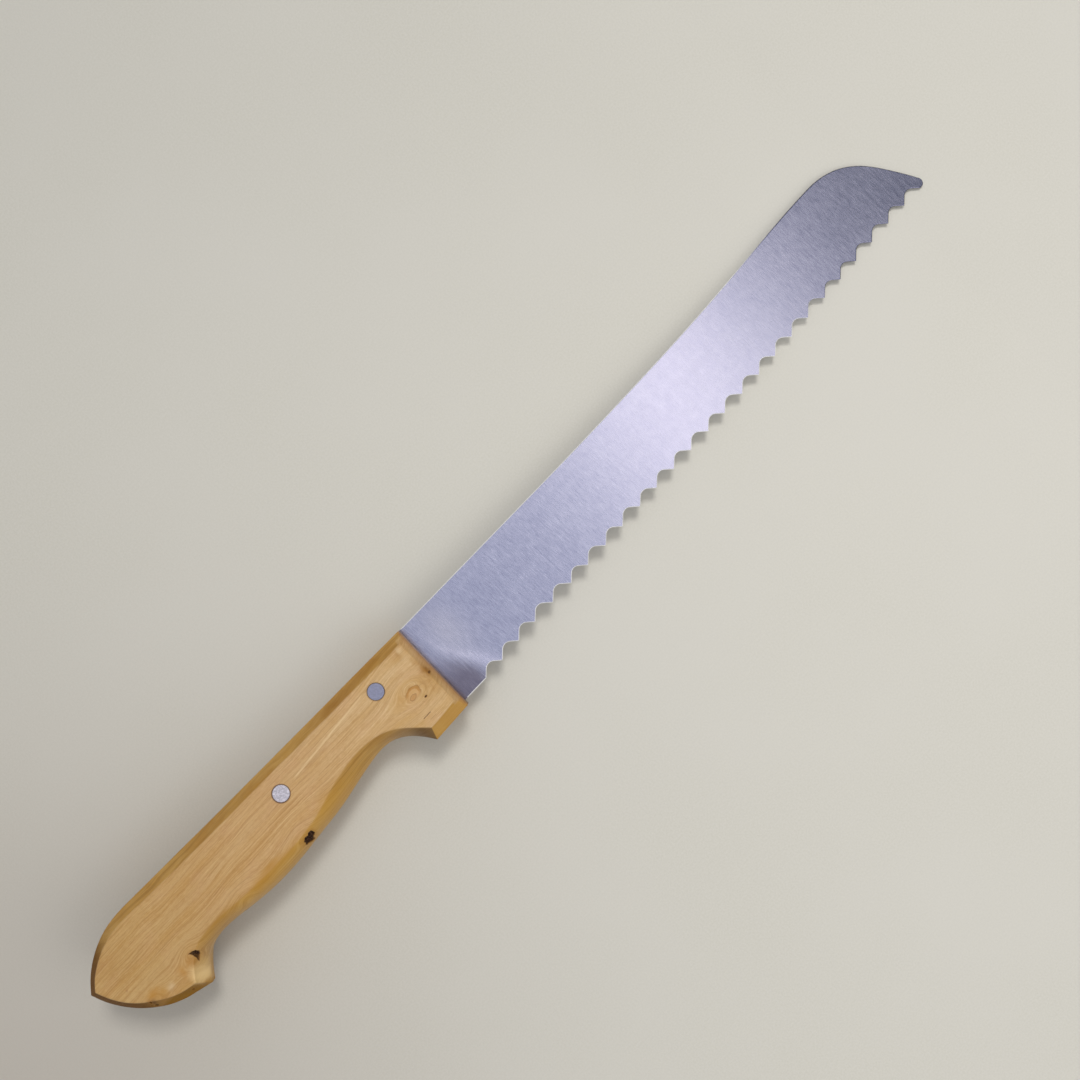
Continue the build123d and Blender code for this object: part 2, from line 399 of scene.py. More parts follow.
def profile_rows(length, start, bulge, soft, low):
    """Distances inwards and heights of one cross section's rows."""
    wall = np.c_[np.zeros(N_WALL), np.linspace(MID + STEEL_HALF, start, N_WALL, endpoint=False)]
    q = np.linspace(0, 1, N_BEVEL, endpoint=False)[:, None]
    a, c = np.array([0.0, start]), np.array([length, TOP])
    b = np.array([length * (0.5 - bulge / 2), start + (TOP - start) * (0.5 + bulge / 2)])
    bevel = (1 - q) ** 2 * a + 2 * q * (1 - q) * b + q**2 * c
    flat = np.c_[np.linspace(length, length + INSET, N_FLAT), np.full(N_FLAT, TOP)]
    below = wall[0] - (wall[1] - wall[0]) * np.arange(N_EXTRA, 0, -1)[:, None]
    inner = flat[-1] + (flat[-1] - flat[-2]) * np.arange(1, N_EXTRA + 1)[:, None]
    line = np.concatenate([below, wall, bevel, flat, inner])
    arc = chords(line)
    weight = np.gradient(arc)
    i_start, i_edge = N_EXTRA + N_WALL, N_EXTRA + N_WALL + N_BEVEL
    share = np.clip((np.arange(len(line)) - i_start) / N_BEVEL, 0, 1)
    sigma = low + (soft - low) * smooth01(share, 0.35, 0.75)
    index = np.concatenate([
        N_EXTRA + np.array(WALL_ROWS) * N_WALL,
        i_start + np.array(BEVEL_ROWS) * N_BEVEL,
        i_edge + np.array(FLAT_ROWS) * (N_FLAT - 1),
    ]).round().astype(int)
    d = (arc[index][:, None] - arc[None, :]) / sigma[index][:, None]
    w = np.exp(-0.5 * d * d) * weight
    w /= w.sum(1)[:, None]
    rows = w @ line
    rows[0] = (0, MID + STEEL_HALF)
    rows[-1] = (length + INSET, TOP)
    return rows


def make_handle():
    rim, flat, start, bulge, soft, low, kind = handle_perimeter()
    n = len(rim)
    wob = waves(11, 9, 9, 30)
    wob_z = waves(12, 9, 8, 28)
    cut_a = int(np.argmin(abs(rim[:, 0] - SLOT_END) + 99 * (kind != 0)))
    cut_b = int(np.argmin(abs(rim[:, 0] - SLOT_END) + 99 * (kind != 2)))
    lengths = np.linalg.norm(flat - rim, axis=1)
    inward = (flat - rim) / lengths[:, None]
    loop = np.concatenate([rim, rim[:1]])
    arc = chords(loop)
    total = arc[-1]
    arc = arc[:-1]
    gap = (np.roll(arc, -1) - np.roll(arc, 1)) % total / 2
    d = abs(arc[:, None] - arc[None, :])
    d = np.minimum(d, total - d)
    blur = np.exp(-0.5 * (d / 0.13) ** 2) * gap[None, :]
    blur /= blur.sum(1)[:, None]
    shell = Shell()
    halves = {}
    for side in (1, -1):
        seed_shift = np.array([0.0, 0.0, 0.0 if side == 1 else 57.0])
        rows = np.empty((n, len(WALL_ROWS) + len(BEVEL_ROWS) + len(FLAT_ROWS), 3))
        for i in range(n):
            here = np.array([rim[i, 0], rim[i, 1], TOP]) + seed_shift
            change = 0.09 * wob(here) * min(1.0, lengths[i] / 3)
            pr = profile_rows(lengths[i] + change, start[i], bulge[i], soft[i], low[i])
            rows[i, :, :2] = rim[i] + inward[i] * pr[:, :1]
            rows[i, :, 2] = pr[:, 1]
        rows = np.einsum("ij,jrk->irk", blur, rows)
        rows[:, 0, 2] = MID + STEEL_HALF
        rows[cut_a, 0, 0] = rows[cut_b, 0, 0] = SLOT_END
        rows[:, -1, :] = np.c_[rim + inward * (lengths + INSET)[:, None], np.full(n, TOP)]
        # slight hand-shaped unevenness, nothing at the slot and always inwards
        ease = smooth01(rows[:, :, 2], MID + 1.2, MID + 4)
        push = (0.5 + 0.5 * wob_z(rows.reshape(-1, 3) + seed_shift).reshape(n, -1)) * 0.05 * ease
        side_in = np.zeros_like(rows)
        side_in[:, :, :2] = inward[:, None, :] * 0.5
        side_in[:, :, 2] = -0.6
        flatness = smooth01(rows[:, :, 2], TOP - 0.02, TOP)
        side_in[:, :, :2] *= (1 - flatness)[:, :, None]
        rows = rows + side_in * push[:, :, None]
        if side == -1:
            corner = smooth01(-rows[:, :, 1], 12.7, 14.5) * smooth01(rows[:, :, 0], -41.5, -37.4)
            rows[:, :, 0] -= corner * (0.8 + 0.65 * smooth01(rows[:, :, 2], MID + 1, 14.8))
        rows[:, :, :2] += SHIFT
        pts = rows.copy()
        if side == -1:
            pts[:, :, 2] = TOP + BOTTOM - pts[:, :, 2]
        ids = [shell.add(pts[:, r, :]) for r in range(rows.shape[1])]
        for r in range(len(ids) - 1):
            a, b = (ids[r], ids[r + 1]) if side == 1 else (ids[r + 1], ids[r])
            shell.strip(a, b, closed=True)

        def face_z(xy, side=side, seed_shift=seed_shift):
            p = np.c_[xy, np.full(len(xy), TOP)]
            down = 0.6 * 0.05 * (0.5 + 0.5 * wob_z(p - [SHIFT[0], SHIFT[1], 0] + seed_shift))
            z = TOP - down
            return z if side == 1 else TOP + BOTTOM - z

        holes, bores = [], []
        for pin, centre in PINS.items():
            lip = 0.13 if pin == "rear_pin" else 0.07
            m = 72
            r0 = circle(centre, PIN_RADIUS + lip, m, 0)
            r0[:, 2] = face_z(r0[:, :2])
            z1 = TOP - 0.05 - lip if side == 1 else BOTTOM + 0.05 + lip
            z2 = MID + side * STEEL_HALF
            outer, inner, deep = shell.add(r0), shell.add(circle(centre, PIN_RADIUS, m, z1)), shell.add(circle(centre, PIN_RADIUS, m, z2))
            if side == 1:
                shell.strip(inner, outer, closed=True)
                shell.strip(deep, inner, closed=True)
            else:
                shell.strip(outer, inner, closed=True)
                shell.strip(inner, deep, closed=True)
            holes.append(outer)
            bores.append(deep)
        shell.fill(ids[-1], holes, 0.62, face_z, up=side == 1, seed=3 + side)
        halves[side] = (ids[0], bores)
    # the solid wood behind the slot, the slot's end, and its two faces
    top_ring, bottom_ring = halves[1][0], halves[-1][0]
    shell.strip(bottom_ring[cut_a:cut_b + 1], top_ring[cut_a:cut_b + 1])
    end_y = np.linspace(shell.points[top_ring[cut_a]][1], shell.points[top_ring[cut_b]][1], 14)[1:-1]
    x = SLOT_END + SHIFT[0]
    ends = {}
    for side in (1, -1):
        z = MID + side * STEEL_HALF
        ring = halves[side][0]
        new = shell.add(np.c_[np.full(len(end_y), x), end_y, np.full(len(end_y), z)])
        ends[side] = np.concatenate([[ring[cut_a]], new, [ring[cut_b]]])
        loop = np.concatenate([ring[:cut_a], [ring[cut_a]], new, ring[cut_b:]])
        shell.fill(loop, halves[side][1], 3.0, lambda xy, z=z: np.full(len(xy), z), up=side == -1, seed=9)
    shell.strip(ends[-1], ends[1])
    return shell.to_object("handle_wood")


# Hollows in the wood: x, y, long and short half widths, turn in degrees,
# depth, how dark it is, which half.
PITS = [
    (-95.50, -8.65, 1.40, 1.15, 12, 1.15, 1.0, 1),
    (-93.75, -7.95, 0.95, 0.80, 20, 0.90, 1.0, 1),
    (-96.95, -9.05, 0.42, 0.30, 30, 0.30, 0.8, 1),
    (-43.20, -4.55, 0.40, 0.24, 8, 0.20, 0.72, 1),
    (-37.40, 0.95, 0.34, 0.28, 40, 0.12, 0.34, 1),
    (-37.62, -0.50, 0.46, 0.38, 20, 0.20, 0.58, 1),
    (-157.85, -7.95, 0.55, 0.34, 60, 0.14, 0.62, 1),
    (-157.95, -9.70, 0.62, 0.30, -50, 0.20, 0.66, 1),
    (-159.00, -8.90, 0.42, 0.22, -50, 0.10, 0.50, 1),
    (-148.10, -14.10, 0.45, 0.30, 15, 0.12, 0.5, 1),
    (-159.20, -1.60, 0.26, 0.24, 0, 0.08, 0.5, 1),
    (-157.70, -3.60, 0.24, 0.22, 0, 0.07, 0.45, 1),
    (-88.30, 3.10, 1.15, 0.75, 12, 0.75, 0.9, -1),
    (-61.40, 8.40, 0.45, 0.30, 0, 0.20, 0.7, -1),
    (-131.20, 4.80, 0.60, 0.36, 20, 0.25, 0.8, -1),
]


def refine(obj, spots, cuts):
    """Splits the faces round some spots (x, y, radius, half) more finely."""
    bm = bmesh.new()
    bm.from_mesh(obj.data)
    chosen = set()
    for e in bm.edges:
        c = (e.verts[0].co + e.verts[1].co) / 2 / MM
        for x, y, r, half in spots:
            if (c.x - x - SHIFT[0]) ** 2 + (c.y - y - SHIFT[1]) ** 2 < r * r and (c.z - MID) * half > 1.2:
                chosen.add(e)
                break
    bmesh.ops.subdivide_edges(bm, edges=list(chosen), cuts=cuts, use_grid_fill=True)
    ngons = [f for f in bm.faces if len(f.verts) > 4]
    bmesh.ops.triangulate(bm, faces=ngons)
    bm.to_mesh(obj.data)
    bm.free()


WEDGE = np.array([
    (-141.00, -6.10), (-139.70, -6.30), (-138.75, -6.85), (-138.58, -7.80),
    (-139.40, -8.65), (-141.15, -10.05), (-140.40, -8.55), (-140.25, -7.60),
    (-140.45, -6.90),
])


def wedge(x, y):
    """Depth share of the open knot near the butt's hook, a ragged wedge."""
    p = np.c_[x, y]
    a, b = WEDGE, np.roll(WEDGE, -1, 0)
    near = np.full(len(p), 99.0)
    for q, r in zip(a, b):
        d = r - q
        k = np.clip(((p - q) @ d) / (d @ d), 0, 1)
        near = np.minimum(near, np.linalg.norm(p - q - k[:, None] * d, axis=1))
    return np.where(within(p, WEDGE), near, -near)


def carve(obj):
    mesh = obj.data
    n = len(mesh.vertices)
    co = np.empty(n * 3)
    mesh.vertices.foreach_get("co", co)
    co = co.reshape(-1, 3) / MM
    no = np.empty(n * 3)
    mesh.vertices.foreach_get("normal", no)
    no = no.reshape(-1, 3)
    x, y, z = co[:, 0] - SHIFT[0], co[:, 1] - SHIFT[1], co[:, 2]
    rough = waves(21, 14, 0.5, 1.8)(co)
    edge = waves(22, 12, 0.8, 2.6)(co)
    depth, dark, halo = np.zeros(n), np.zeros(n), np.zeros(n)
    for px, py, a, b, turn, deep, tone, half in PITS:
        c, s = math.cos(math.radians(turn)), math.sin(math.radians(turn))
        u, v = (x - px) * c + (y - py) * s, -(x - px) * s + (y - py) * c
        r = np.sqrt((u / a) ** 2 + (v / b) ** 2) * (1 + 0.16 * edge)
        on = (z - MID) * half > 1.0
        bowl = (1 - smooth01(r, 0.55, 1.08)) * on
        depth = np.maximum(depth, bowl * deep * (1 + 0.22 * rough))
        dark = np.maximum(dark, (1 - smooth01(r, 0.78, 1.22)) * tone * on)
        halo = np.maximum(halo, (1 - smooth01(r, 1.0, 2.6)) * tone * on)
    top = (z - MID) > 1.0
    moon = np.where(top, wedge(x, y), -9.0) + 0.07 * edge
    depth = np.maximum(depth, smooth01(moon, -0.05, 0.38) * 0.75 * (1 + 0.3 * rough))
    dark = np.maximum(dark, smooth01(moon, -0.14, 0.16) * (0.72 + 0.28 * smooth01(x, -139.9, -138.9)))
    halo = np.maximum(halo, np.exp(-((x + 140.6) / 3.0) ** 2 - ((y + 8.2) / 2.4) ** 2) * 0.6 * top)
    direction = -no
    co2 = co + direction * depth[:, None]
    co2[:, 2] = np.clip(co2[:, 2], BOTTOM, TOP)
    mesh.vertices.foreach_set("co", (co2 * MM).ravel())
    for name, values in (("pit", dark), ("halo", halo)):
        mesh.attributes.new(name, "FLOAT", "POINT").data.foreach_set("value", values.astype(np.float32))
    mesh.update()


def bevel_zone(obj):
    """How much each point belongs to the bevels: 0 on the flats, 1 beyond."""
    mesh = obj.data
    n = len(mesh.vertices)
    co = np.empty(n * 3)
    mesh.vertices.foreach_get("co", co)
    z = np.abs(co.reshape(-1, 3)[:, 2] / MM - MID)
    value = 1 - smooth01(z, TOP - MID - 0.36, TOP - MID - 0.07)
    mesh.attributes.new("zone", "FLOAT", "POINT").data.foreach_set("value", value.astype(np.float32))


wood_piece = make_handle()
refine(wood_piece, [
    (-95.4, -8.0, 3.2, 1), (-139.3, -7.7, 3.4, 1), (-43.2, -4.45, 1.1, 1), (-37.6, 0.2, 1.6, 1),
    (-157.3, -9.9, 2.4, 1), (-148.1, -14.1, 1.0, 1), (-88.3, 3.1, 2.0, -1), (-131.2, 4.8, 1.2, -1), (-61.4, 8.4, 1.0, -1),
], 3)
bevel_zone(wood_piece)
finish_mesh(wood_piece, 24)
carve(wood_piece)
finish_mesh(wood_piece, 32)


# --------------------------------------------------------------------- blade
RISE = math.tan(math.radians(42))
FALL = math.tan(math.radians(18))
ROOT_RADIUS = 2.25


def ground_half(x, y):
    return 0.9 - 0.013 * (14.0 - y) - 0.001 * (x + 33.6)


def steel_half(x, y):
    """Half thickness of the steel."""
    x, y = np.asarray(x, float), np.asarray(y, float)
    g = np.minimum(ground_half(x, y), 0.9)
    d = np.maximum(x + 33.6, 0)
    d = np.maximum(d - 6.5 * smooth01(-y, -4, 13), 0)
    d = np.sqrt(d * d + 2.25) - 1.5
    run = 0.9 - 0.080 * d + 0.0019 * d * d * (d < 20) - (d >= 20) * 9
    k = 0.09
    top = np.maximum(g, run) + k / 4 * np.maximum(0, 1 - abs(g - run) / k) ** 2
    return np.where(x < -33.6, 0.9, np.minimum(top, 0.9))


def blade_outline():
    """Samples round the blade and tang, with a kind for each: 0 spine, 1 tang, 2 heel, 3 teeth, 4 nose."""
    pts, kinds = [], []

    def put(p, kind):
        pts.append(np.asarray(p, float))
        kinds.append(np.full(len(p), kind))

    t = chords(BLADE_SPINE)
    fine = np.linspace(0, t[-1], 6000)
    line = spline(t, BLADE_SPINE, fine)
    arc = chords(line)
    s = np.concatenate([np.arange(0, arc[-1] - 48, 1.0), np.linspace(arc[-1] - 48, arc[-1], 130)])
    put(np.c_[np.interp(s, arc, line[:, 0]), np.interp(s, arc, line[:, 1])][::-1][:-1], 0)
    t = chords(SPINE_RIM)
    fine = np.linspace(0, t[-1], 4000)
    line = spline(t, SPINE_RIM, fine)
    stop = np.argmax(line[:, 0] < TANG_END + 1.5)
    line = line[:stop]
    put(line[np.linspace(0, len(line) - 1, 90).astype(int)], 1)
    y_hi = line[-1, 1]
    a = np.radians(np.linspace(90, 180, 8))[1:]
    put(np.c_[TANG_END + 1.5 + 1.5 * np.cos(a), y_hi - 1.5 + 1.5 * np.sin(a)], 1)
    t = chords(GRIP_RIM)
    fine = np.linspace(0, t[-1], 6000)
    line = spline(t, GRIP_RIM, fine)
    first = np.argmax(line[:, 0] > TANG_END + 1.5)
    last = np.argmax((line[:, 1] < HEEL_Y) & (line[:, 0] > -60))
    line = line[first:last]
    y_lo = line[0, 1]
    put(np.c_[np.full(11, TANG_END), np.linspace(y_hi - 1.5, y_lo + 1.5, 12)[1:]], 1)
    a = np.radians(np.linspace(180, 270, 8))[1:]
    put(np.c_[TANG_END + 1.5 + 1.5 * np.cos(a), y_lo + 1.5 + 1.5 * np.sin(a)], 1)
    put(line[np.linspace(4, len(line) - 1, 90).astype(int)], 1)
    corner = line[-1, 0]
    put(np.c_[np.linspace(corner + 0.4, -36.2, 26), np.full(26, HEEL_Y)], 1)
    xs = np.concatenate([np.linspace(-35.9, -29.0, 18), [-28.85, -28.65, -28.5, -28.42]])
    put(np.c_[xs, HEEL_Y + (xs + 35.9) / 7.55 * (HEEL_END[1] - HEEL_Y)], 2)
    edge = [HEEL_END] + TEETH
    for k in range(len(edge) - 1):
        p, q = np.array(edge[k]), np.array(edge[k + 1])
        ax = (p[0] + q[0]) / 2 + (q[1] - p[1]) / (2 * RISE)
        apex = np.array([ax, p[1] + (ax - p[0]) * RISE])
        radius = ROOT_RADIUS * (1 + 0.05 * math.sin(k * 2.3))
        half = math.radians(42)
        cut = radius * math.tan(half)
        centre = apex + [0, -radius / math.cos(half)]
        up, down = (apex - p), (apex - q)
        lu, ld = np.linalg.norm(up), np.linalg.norm(down)
        near = np.array([0.0, 0.06, 0.12, 0.19, 0.28, 0.42, 0.62])
        su = np.concatenate([near, np.linspace(0.95, lu - cut, 7)])
        sd = np.concatenate([near, np.linspace(0.95, ld - cut, 7)])[::-1][:-1]
        put(p + up / lu * su[:, None], 3)
        a = np.linspace(math.pi / 2 + half, math.pi / 2 - half, 13)[1:-1]
        put(centre + radius * np.c_[np.cos(a), np.sin(a)], 3)
        put(q + down / ld * sd[:, None], 3)
    put([TEETH[-1]], 3)
    put([(167.06, -7.11), (167.14, -7.11), (167.3, -7.11), (167.6, -7.11), (167.9, -7.11)], 4)
    a, b, c = (np.array(p) for p in NOSE)
    m = np.array([b - a, c - b])
    centre = np.linalg.solve(m, [((b @ b) - (a @ a)) / 2, ((c @ c) - (b @ b)) / 2])
    r = np.linalg.norm(a - centre)
    a0, a1 = math.atan2(*(c - centre)[::-1]), math.atan2(*(a - centre)[::-1])
    ang = np.linspace(a0, a1, 18)[:-1]
    put(centre + r * np.c_[np.cos(ang), np.sin(ang)], 4)
    return np.concatenate(pts), np.concatenate(kinds)


def make_blade():
    plan, kind = blade_outline()
    n = len(plan)
    arc = chords(np.concatenate([plan, plan[:1]]))
    total, arc = arc[-1], arc[:-1]
    gap = (np.roll(arc, -1) - np.roll(arc, 1)) % total / 2
    d = abs(arc[:, None] - arc[None, :])
    d = np.minimum(d, total - d)
    blur = np.exp(-0.5 * (d / 0.085) ** 2) * gap[None, :]
    blur /= blur.sum(1)[:, None]
    plan = blur @ plan
    plan[:, 1] = np.minimum(plan[:, 1], blade_hi.y / MM - SHIFT[1] - 0.001)
    tangent = np.roll(plan, -1, 0) - np.roll(plan, 1, 0)
    tangent /= np.linalg.norm(tangent, axis=1)[:, None]
    inwards = np.c_[-tangent[:, 1], tangent[:, 0]]
    c = np.choose(kind, [0.27, 0.03, 0.28, 0.18, 0.20])
    d = np.choose(kind, [0.17, 0.02, 0.10, 0.045, 0.12])
    c, d = blur @ c, blur @ d
    # never further in than the room there is at a scallop's point
    away = plan[None, :, :] - plan[:, None, :]
    facing = np.einsum("ijk,ik->ij", away, inwards)
    room = np.where(facing > 1e-6, (away**2).sum(-1) / (2 * np.maximum(facing, 1e-6)), 99.0)
    c = np.minimum(c, 0.8 * room.min(1))
    x, y = plan.T
    h = steel_half(x, y)
    h_in = steel_half(*(plan + inwards * c[:, None]).T)
    top_in = np.c_[plan + inwards * c[:, None], MID + h_in]
    top_out = np.c_[plan, MID + h - d]
    low_out = np.c_[plan, MID - h + d]
    low_in = np.c_[plan + inwards * c[:, None], MID - h_in]
    # the scallops are ground from the lower face, along a slope of 18 degrees
    flank_y = np.where(
        kind == 2, HEEL_END[1] + (x - HEEL_END[0]) * RISE,
        np.where(kind == 4, TEETH[-1][1] - (x - TEETH[-1][0]) * RISE, y),
    )
    cut_z = MID + ground_half(x, flank_y) - (y - flank_y) * FALL - 0.04
    cut_z = np.minimum(cut_z, MID + h - d - 0.03)
    is_cut = (kind == 3) | (((kind == 2) | (kind == 4)) & (cut_z > MID - h + 0.02) & ((kind == 2) | (y < -5.5)))
    for i in np.where(is_cut)[0]:
        fade = float(smooth01(y[i], -6.9, -5.6)) if kind[i] == 4 else 0.0
        low_out[i, 2] = cut_z[i] * (1 - fade) + low_out[i, 2] * fade
        reach = 0.0
        for _ in range(6):
            hh = float(steel_half(x[i], y[i] + reach))
            reach = (cut_z[i] - (MID - hh)) / FALL
        ground = np.array([x[i], y[i] + reach, MID - float(steel_half(x[i], y[i] + reach))])
        low_in[i] = ground * (1 - fade) + low_in[i] * fade
    rings = []
    shell = Shell()
    for loop in (top_in, top_out, low_out, low_in):
        loop = loop.copy()
        loop[:, :2] += SHIFT
        rings.append(shell.add(loop))
    for a, b in zip(rings, rings[1:]):
        shell.strip(b, a, closed=True)
    holes = {1: [], -1: []}
    for centre in PINS.values():
        r1 = shell.add(circle(centre, PIN_RADIUS, 48, MID + STEEL_HALF))
        r2 = shell.add(circle(centre, PIN_RADIUS, 48, MID - STEEL_HALF))
        shell.strip(r1, r2, closed=True)
        holes[1].append(r1)
        holes[-1].append(r2)
    gx, gy = np.meshgrid(np.arange(-34.1, -20, 0.5), np.arange(-13.2, 13.6, 0.5))
    fine = (np.c_[gx.ravel(), gy.ravel()] + SHIFT, 0.5)
    for side, ring in ((1, rings[0]), (-1, rings[3])):
        shell.fill(ring, holes[side], 1.7, lambda xy, s=side: MID + s * steel_half(xy[:, 0] - SHIFT[0], xy[:, 1] - SHIFT[1]), up=side == 1, extra=fine, seed=5)
    obj = shell.to_object("blade_steel")
    mesh = obj.data
    uv = mesh.uv_layers.new(name="brush")
    co = np.empty(len(mesh.vertices) * 3)
    mesh.vertices.foreach_get("co", co)
    co = co.reshape(-1, 3)
    loops = np.empty(len(mesh.loops), int)
    mesh.loops.foreach_get("vertex_index", loops)
    flat_uv = np.c_[co[loops, 0], co[loops, 1]] * 2.5 + 0.5
    uv.data.foreach_set("uv", flat_uv.ravel())
    # how far a point is from the ground flats: 1 on the narrow edges
    used = np.zeros(len(co), np.float32)
    for ring in (rings[1], rings[2]):
        used[ring] = 1
    mesh.attributes.new("rim", "FLOAT", "POINT").data.foreach_set("value", used)
    return obj


blade_piece = make_blade()
finish_mesh(blade_piece, 8)


# ---------------------------------------------------------------------- pins
def make_pin(node, name, seed, marks):
    """A pin hammered into its hole and filed flush with the wood."""
    lo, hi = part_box(node)
    centre = pin_centre(node)
    shell = Shell()
    radii = [0.0, 0.22, 0.45, 0.68, 0.91, 1.14, 1.37, 1.6, 1.82, 2.0, 2.14, 2.25, 2.33, 2.39, 2.43, 2.455]
    m = 96
    g = np.random.default_rng(seed)
    dents = [(g.uniform(-1.7, 1.7), g.uniform(-1.7, 1.7), g.uniform(0.25, 0.6), g.uniform(0.15, 0.5), g.uniform(0, math.pi)) for _ in range(9)]
    ripple = waves(seed + 1, 12, 0.5, 2.5)
    rings = {}
    for side, z_end in ((1, hi.z / MM), (-1, lo.z / MM)):
        made = []
        for r in radii:
            ring = circle((0, 0), r, m, 0) if r else np.zeros((1, 3))
            u, v = ring[:, 0], ring[:, 1]
            down = 0.012 + 0.012 * (0.5 + 0.5 * ripple(np.c_[u, v, np.full(len(u), 5.0 * side)]))
            for px, py, a, b, turn in dents if marks else []:
                cc, ss = math.cos(turn), math.sin(turn)
                p, q = (u - px) * cc + (v - py) * ss, -(u - px) * ss + (v - py) * cc
                down = down + marks * np.exp(-((p / a) ** 2) - (q / b) ** 2)
            over = max(0.0, r - 2.30)
            down = down + over**2 * 4.0
            ring[:, 2] = z_end - side * down
            ring[:, :2] += centre
            made.append(shell.add(ring))
        made.append(shell.add(circle(centre, 2.465, m, z_end - side * 0.22)))
        rings[side] = made
        for a, b in zip(made[1:], made[2:]):
            if side == 1:
                shell.strip(b, a, closed=True)
            else:
                shell.strip(a, b, closed=True)
        hub, first = int(made[0][0]), made[1]
        for i in range(m):
            j = (i + 1) % m
            f = (hub, int(first[i]), int(first[j]))
            shell.faces.append(f if side == 1 else f[::-1])
    shell.strip(rings[-1][-1], rings[1][-1], closed=True)
    obj = shell.to_object(name)
    finish_mesh(obj, 40)
    return obj


front_piece = make_pin("front_pin", "front_pin_metal", 31, 0.0)
rear_piece = make_pin("rear_pin", "rear_pin_metal", 37, 0.035)


# ----------------------------------------------------------------- materials
class Tree:
    """A short way of writing a node tree as arithmetic."""

    def __init__(self, tree):
        self.tree = tree

    def node(self, kind, **values):
        n = self.tree.nodes.new(kind)
        for key, value in values.items():
            setattr(n, key, value)
        return n

    def put(self, socket, value):
        if isinstance(value, Value):
            self.tree.links.new(value.socket, socket)
        elif isinstance(value, bpy.types.NodeSocket):
            self.tree.links.new(value, socket)
        else:
            socket.default_value = value

    def math(self, op, *args, clamp=False):
        n = self.node("ShaderNodeMath", operation=op, use_clamp=clamp)
        for socket, value in zip(n.inputs, args):
            self.put(socket, value)
        return Value(self, n.outputs[0])

    def step(self, x, lo, hi, a=0.0, b=1.0):
        n = self.node("ShaderNodeMapRange", interpolation_type="SMOOTHSTEP")
        for socket, value in zip(n.inputs, (x, lo, hi, a, b)):
            self.put(socket, value)
        return Value(self, n.outputs[0])

    def vec(self, x, y, z):
        n = self.node("ShaderNodeCombineXYZ")
        for socket, value in zip(n.inputs, (x, y, z)):
            self.put(socket, value)
        return Value(self, n.outputs[0])

    def noise(self, x, y, z, scale=1.0, detail=2.0, rough=0.5, distortion=0.0):
        n = self.node("ShaderNodeTexNoise", noise_dimensions="3D")
        self.put(n.inputs["Vector"], self.vec(x, y, z))
        n.inputs["Scale"].default_value = scale
        n.inputs["Detail"].default_value = detail
        n.inputs["Roughness"].default_value = rough
        n.inputs["Distortion"].default_value = distortion
        return Value(self, n.outputs[0])

    def mix(self, share, a, b, mode="MIX"):
        n = self.node("ShaderNodeMix", data_type="RGBA", blend_type=mode, clamp_factor=True)
        self.put(n.inputs[0], share)
        for socket, value in ((n.inputs[6], a), (n.inputs[7], b)):
            self.put(socket, (*value, 1.0) if isinstance(value, tuple) and len(value) == 3 else value)
        return Value(self, n.outputs[2])

    def attribute(self, name):
        n = self.node("ShaderNodeAttribute", attribute_type="GEOMETRY", attribute_name=name)
        return Value(self, n.outputs["Fac"])

    def position(self):
        """Place on the object in mm."""
        n = self.node("ShaderNodeTexCoord")
        s = self.node("ShaderNodeSeparateXYZ")
        self.tree.links.new(n.outputs["Object"], s.inputs[0])
        return tuple(Value(self, o) * 1000.0 for o in s.outputs)


class Value:
    def __init__(self, tree, socket):
        self.tree, self.socket = tree, socket

    def __add__(self, o): return self.tree.math("ADD", self, o)
    def __radd__(self, o): return self.tree.math("ADD", o, self)
    def __sub__(self, o): return self.tree.math("SUBTRACT", self, o)
    def __rsub__(self, o): return self.tree.math("SUBTRACT", o, self)
    def __mul__(self, o): return self.tree.math("MULTIPLY", self, o)
    def __rmul__(self, o): return self.tree.math("MULTIPLY", o, self)
    def __truediv__(self, o): return self.tree.math("DIVIDE", self, o)
    def __rtruediv__(self, o): return self.tree.math("DIVIDE", o, self)
    def __pow__(self, o): return self.tree.math("POWER", self, o)


def linear(r, g, b):
    """An sRGB colour, 0 to 255, as scene values."""
    return tuple(c / 12.92 if c <= 0.04045 else ((c + 0.055) / 1.055) ** 2.4 for c in (r / 255, g / 255, b / 255))


def new_material(name):
    material = bpy.data.materials.new(name)
    material.use_nodes = True
    tree = material.node_tree
    tree.nodes.clear()
    out = tree.nodes.new("ShaderNodeOutputMaterial")
    shader = tree.nodes.new("ShaderNodeBsdfPrincipled")
    tree.links.new(shader.outputs[0], out.inputs[0])
    return material, Tree(tree), shader


def bump(t, shader, height, distance, strength=1.0, before=None):
    n = t.node("ShaderNodeBump")
    n.inputs["Strength"].default_value = strength
    n.inputs["Distance"].default_value = distance
    t.put(n.inputs["Height"], height)
    if before is not None:
        t.tree.links.new(before, n.inputs["Normal"])
    t.tree.links.new(n.outputs[0], shader.inputs["Normal"])
    return n.outputs[0]


def segment(t, x, y, p, q, width, soft=0.5):
    """1 on the line from p to q, 0 away from it."""
    dx, dy = q[0] - p[0], q[1] - p[1]
    l2 = dx * dx + dy * dy
    k = t.math("MULTIPLY", (x - p[0]) * dx + (y - p[1]) * dy, 1 / l2, clamp=True)
    ex, ey = x - p[0] - k * dx, y - p[1] - k * dy
    dist = t.math("SQRT", ex * ex + ey * ey)
    ends = t.step(k, 0.0, 0.12) * t.step(k, 1.0, 0.88)
    return t.step(dist, width, width * soft) * ends


def blob(t, x, y, px, py, a, b):
    """1 at a point, fading out over a and b mm."""
    u, v = (x - px) * (1 / a), (y - py) * (1 / b)
    return t.math("EXPONENT", (u * u + v * v) * -1.0)


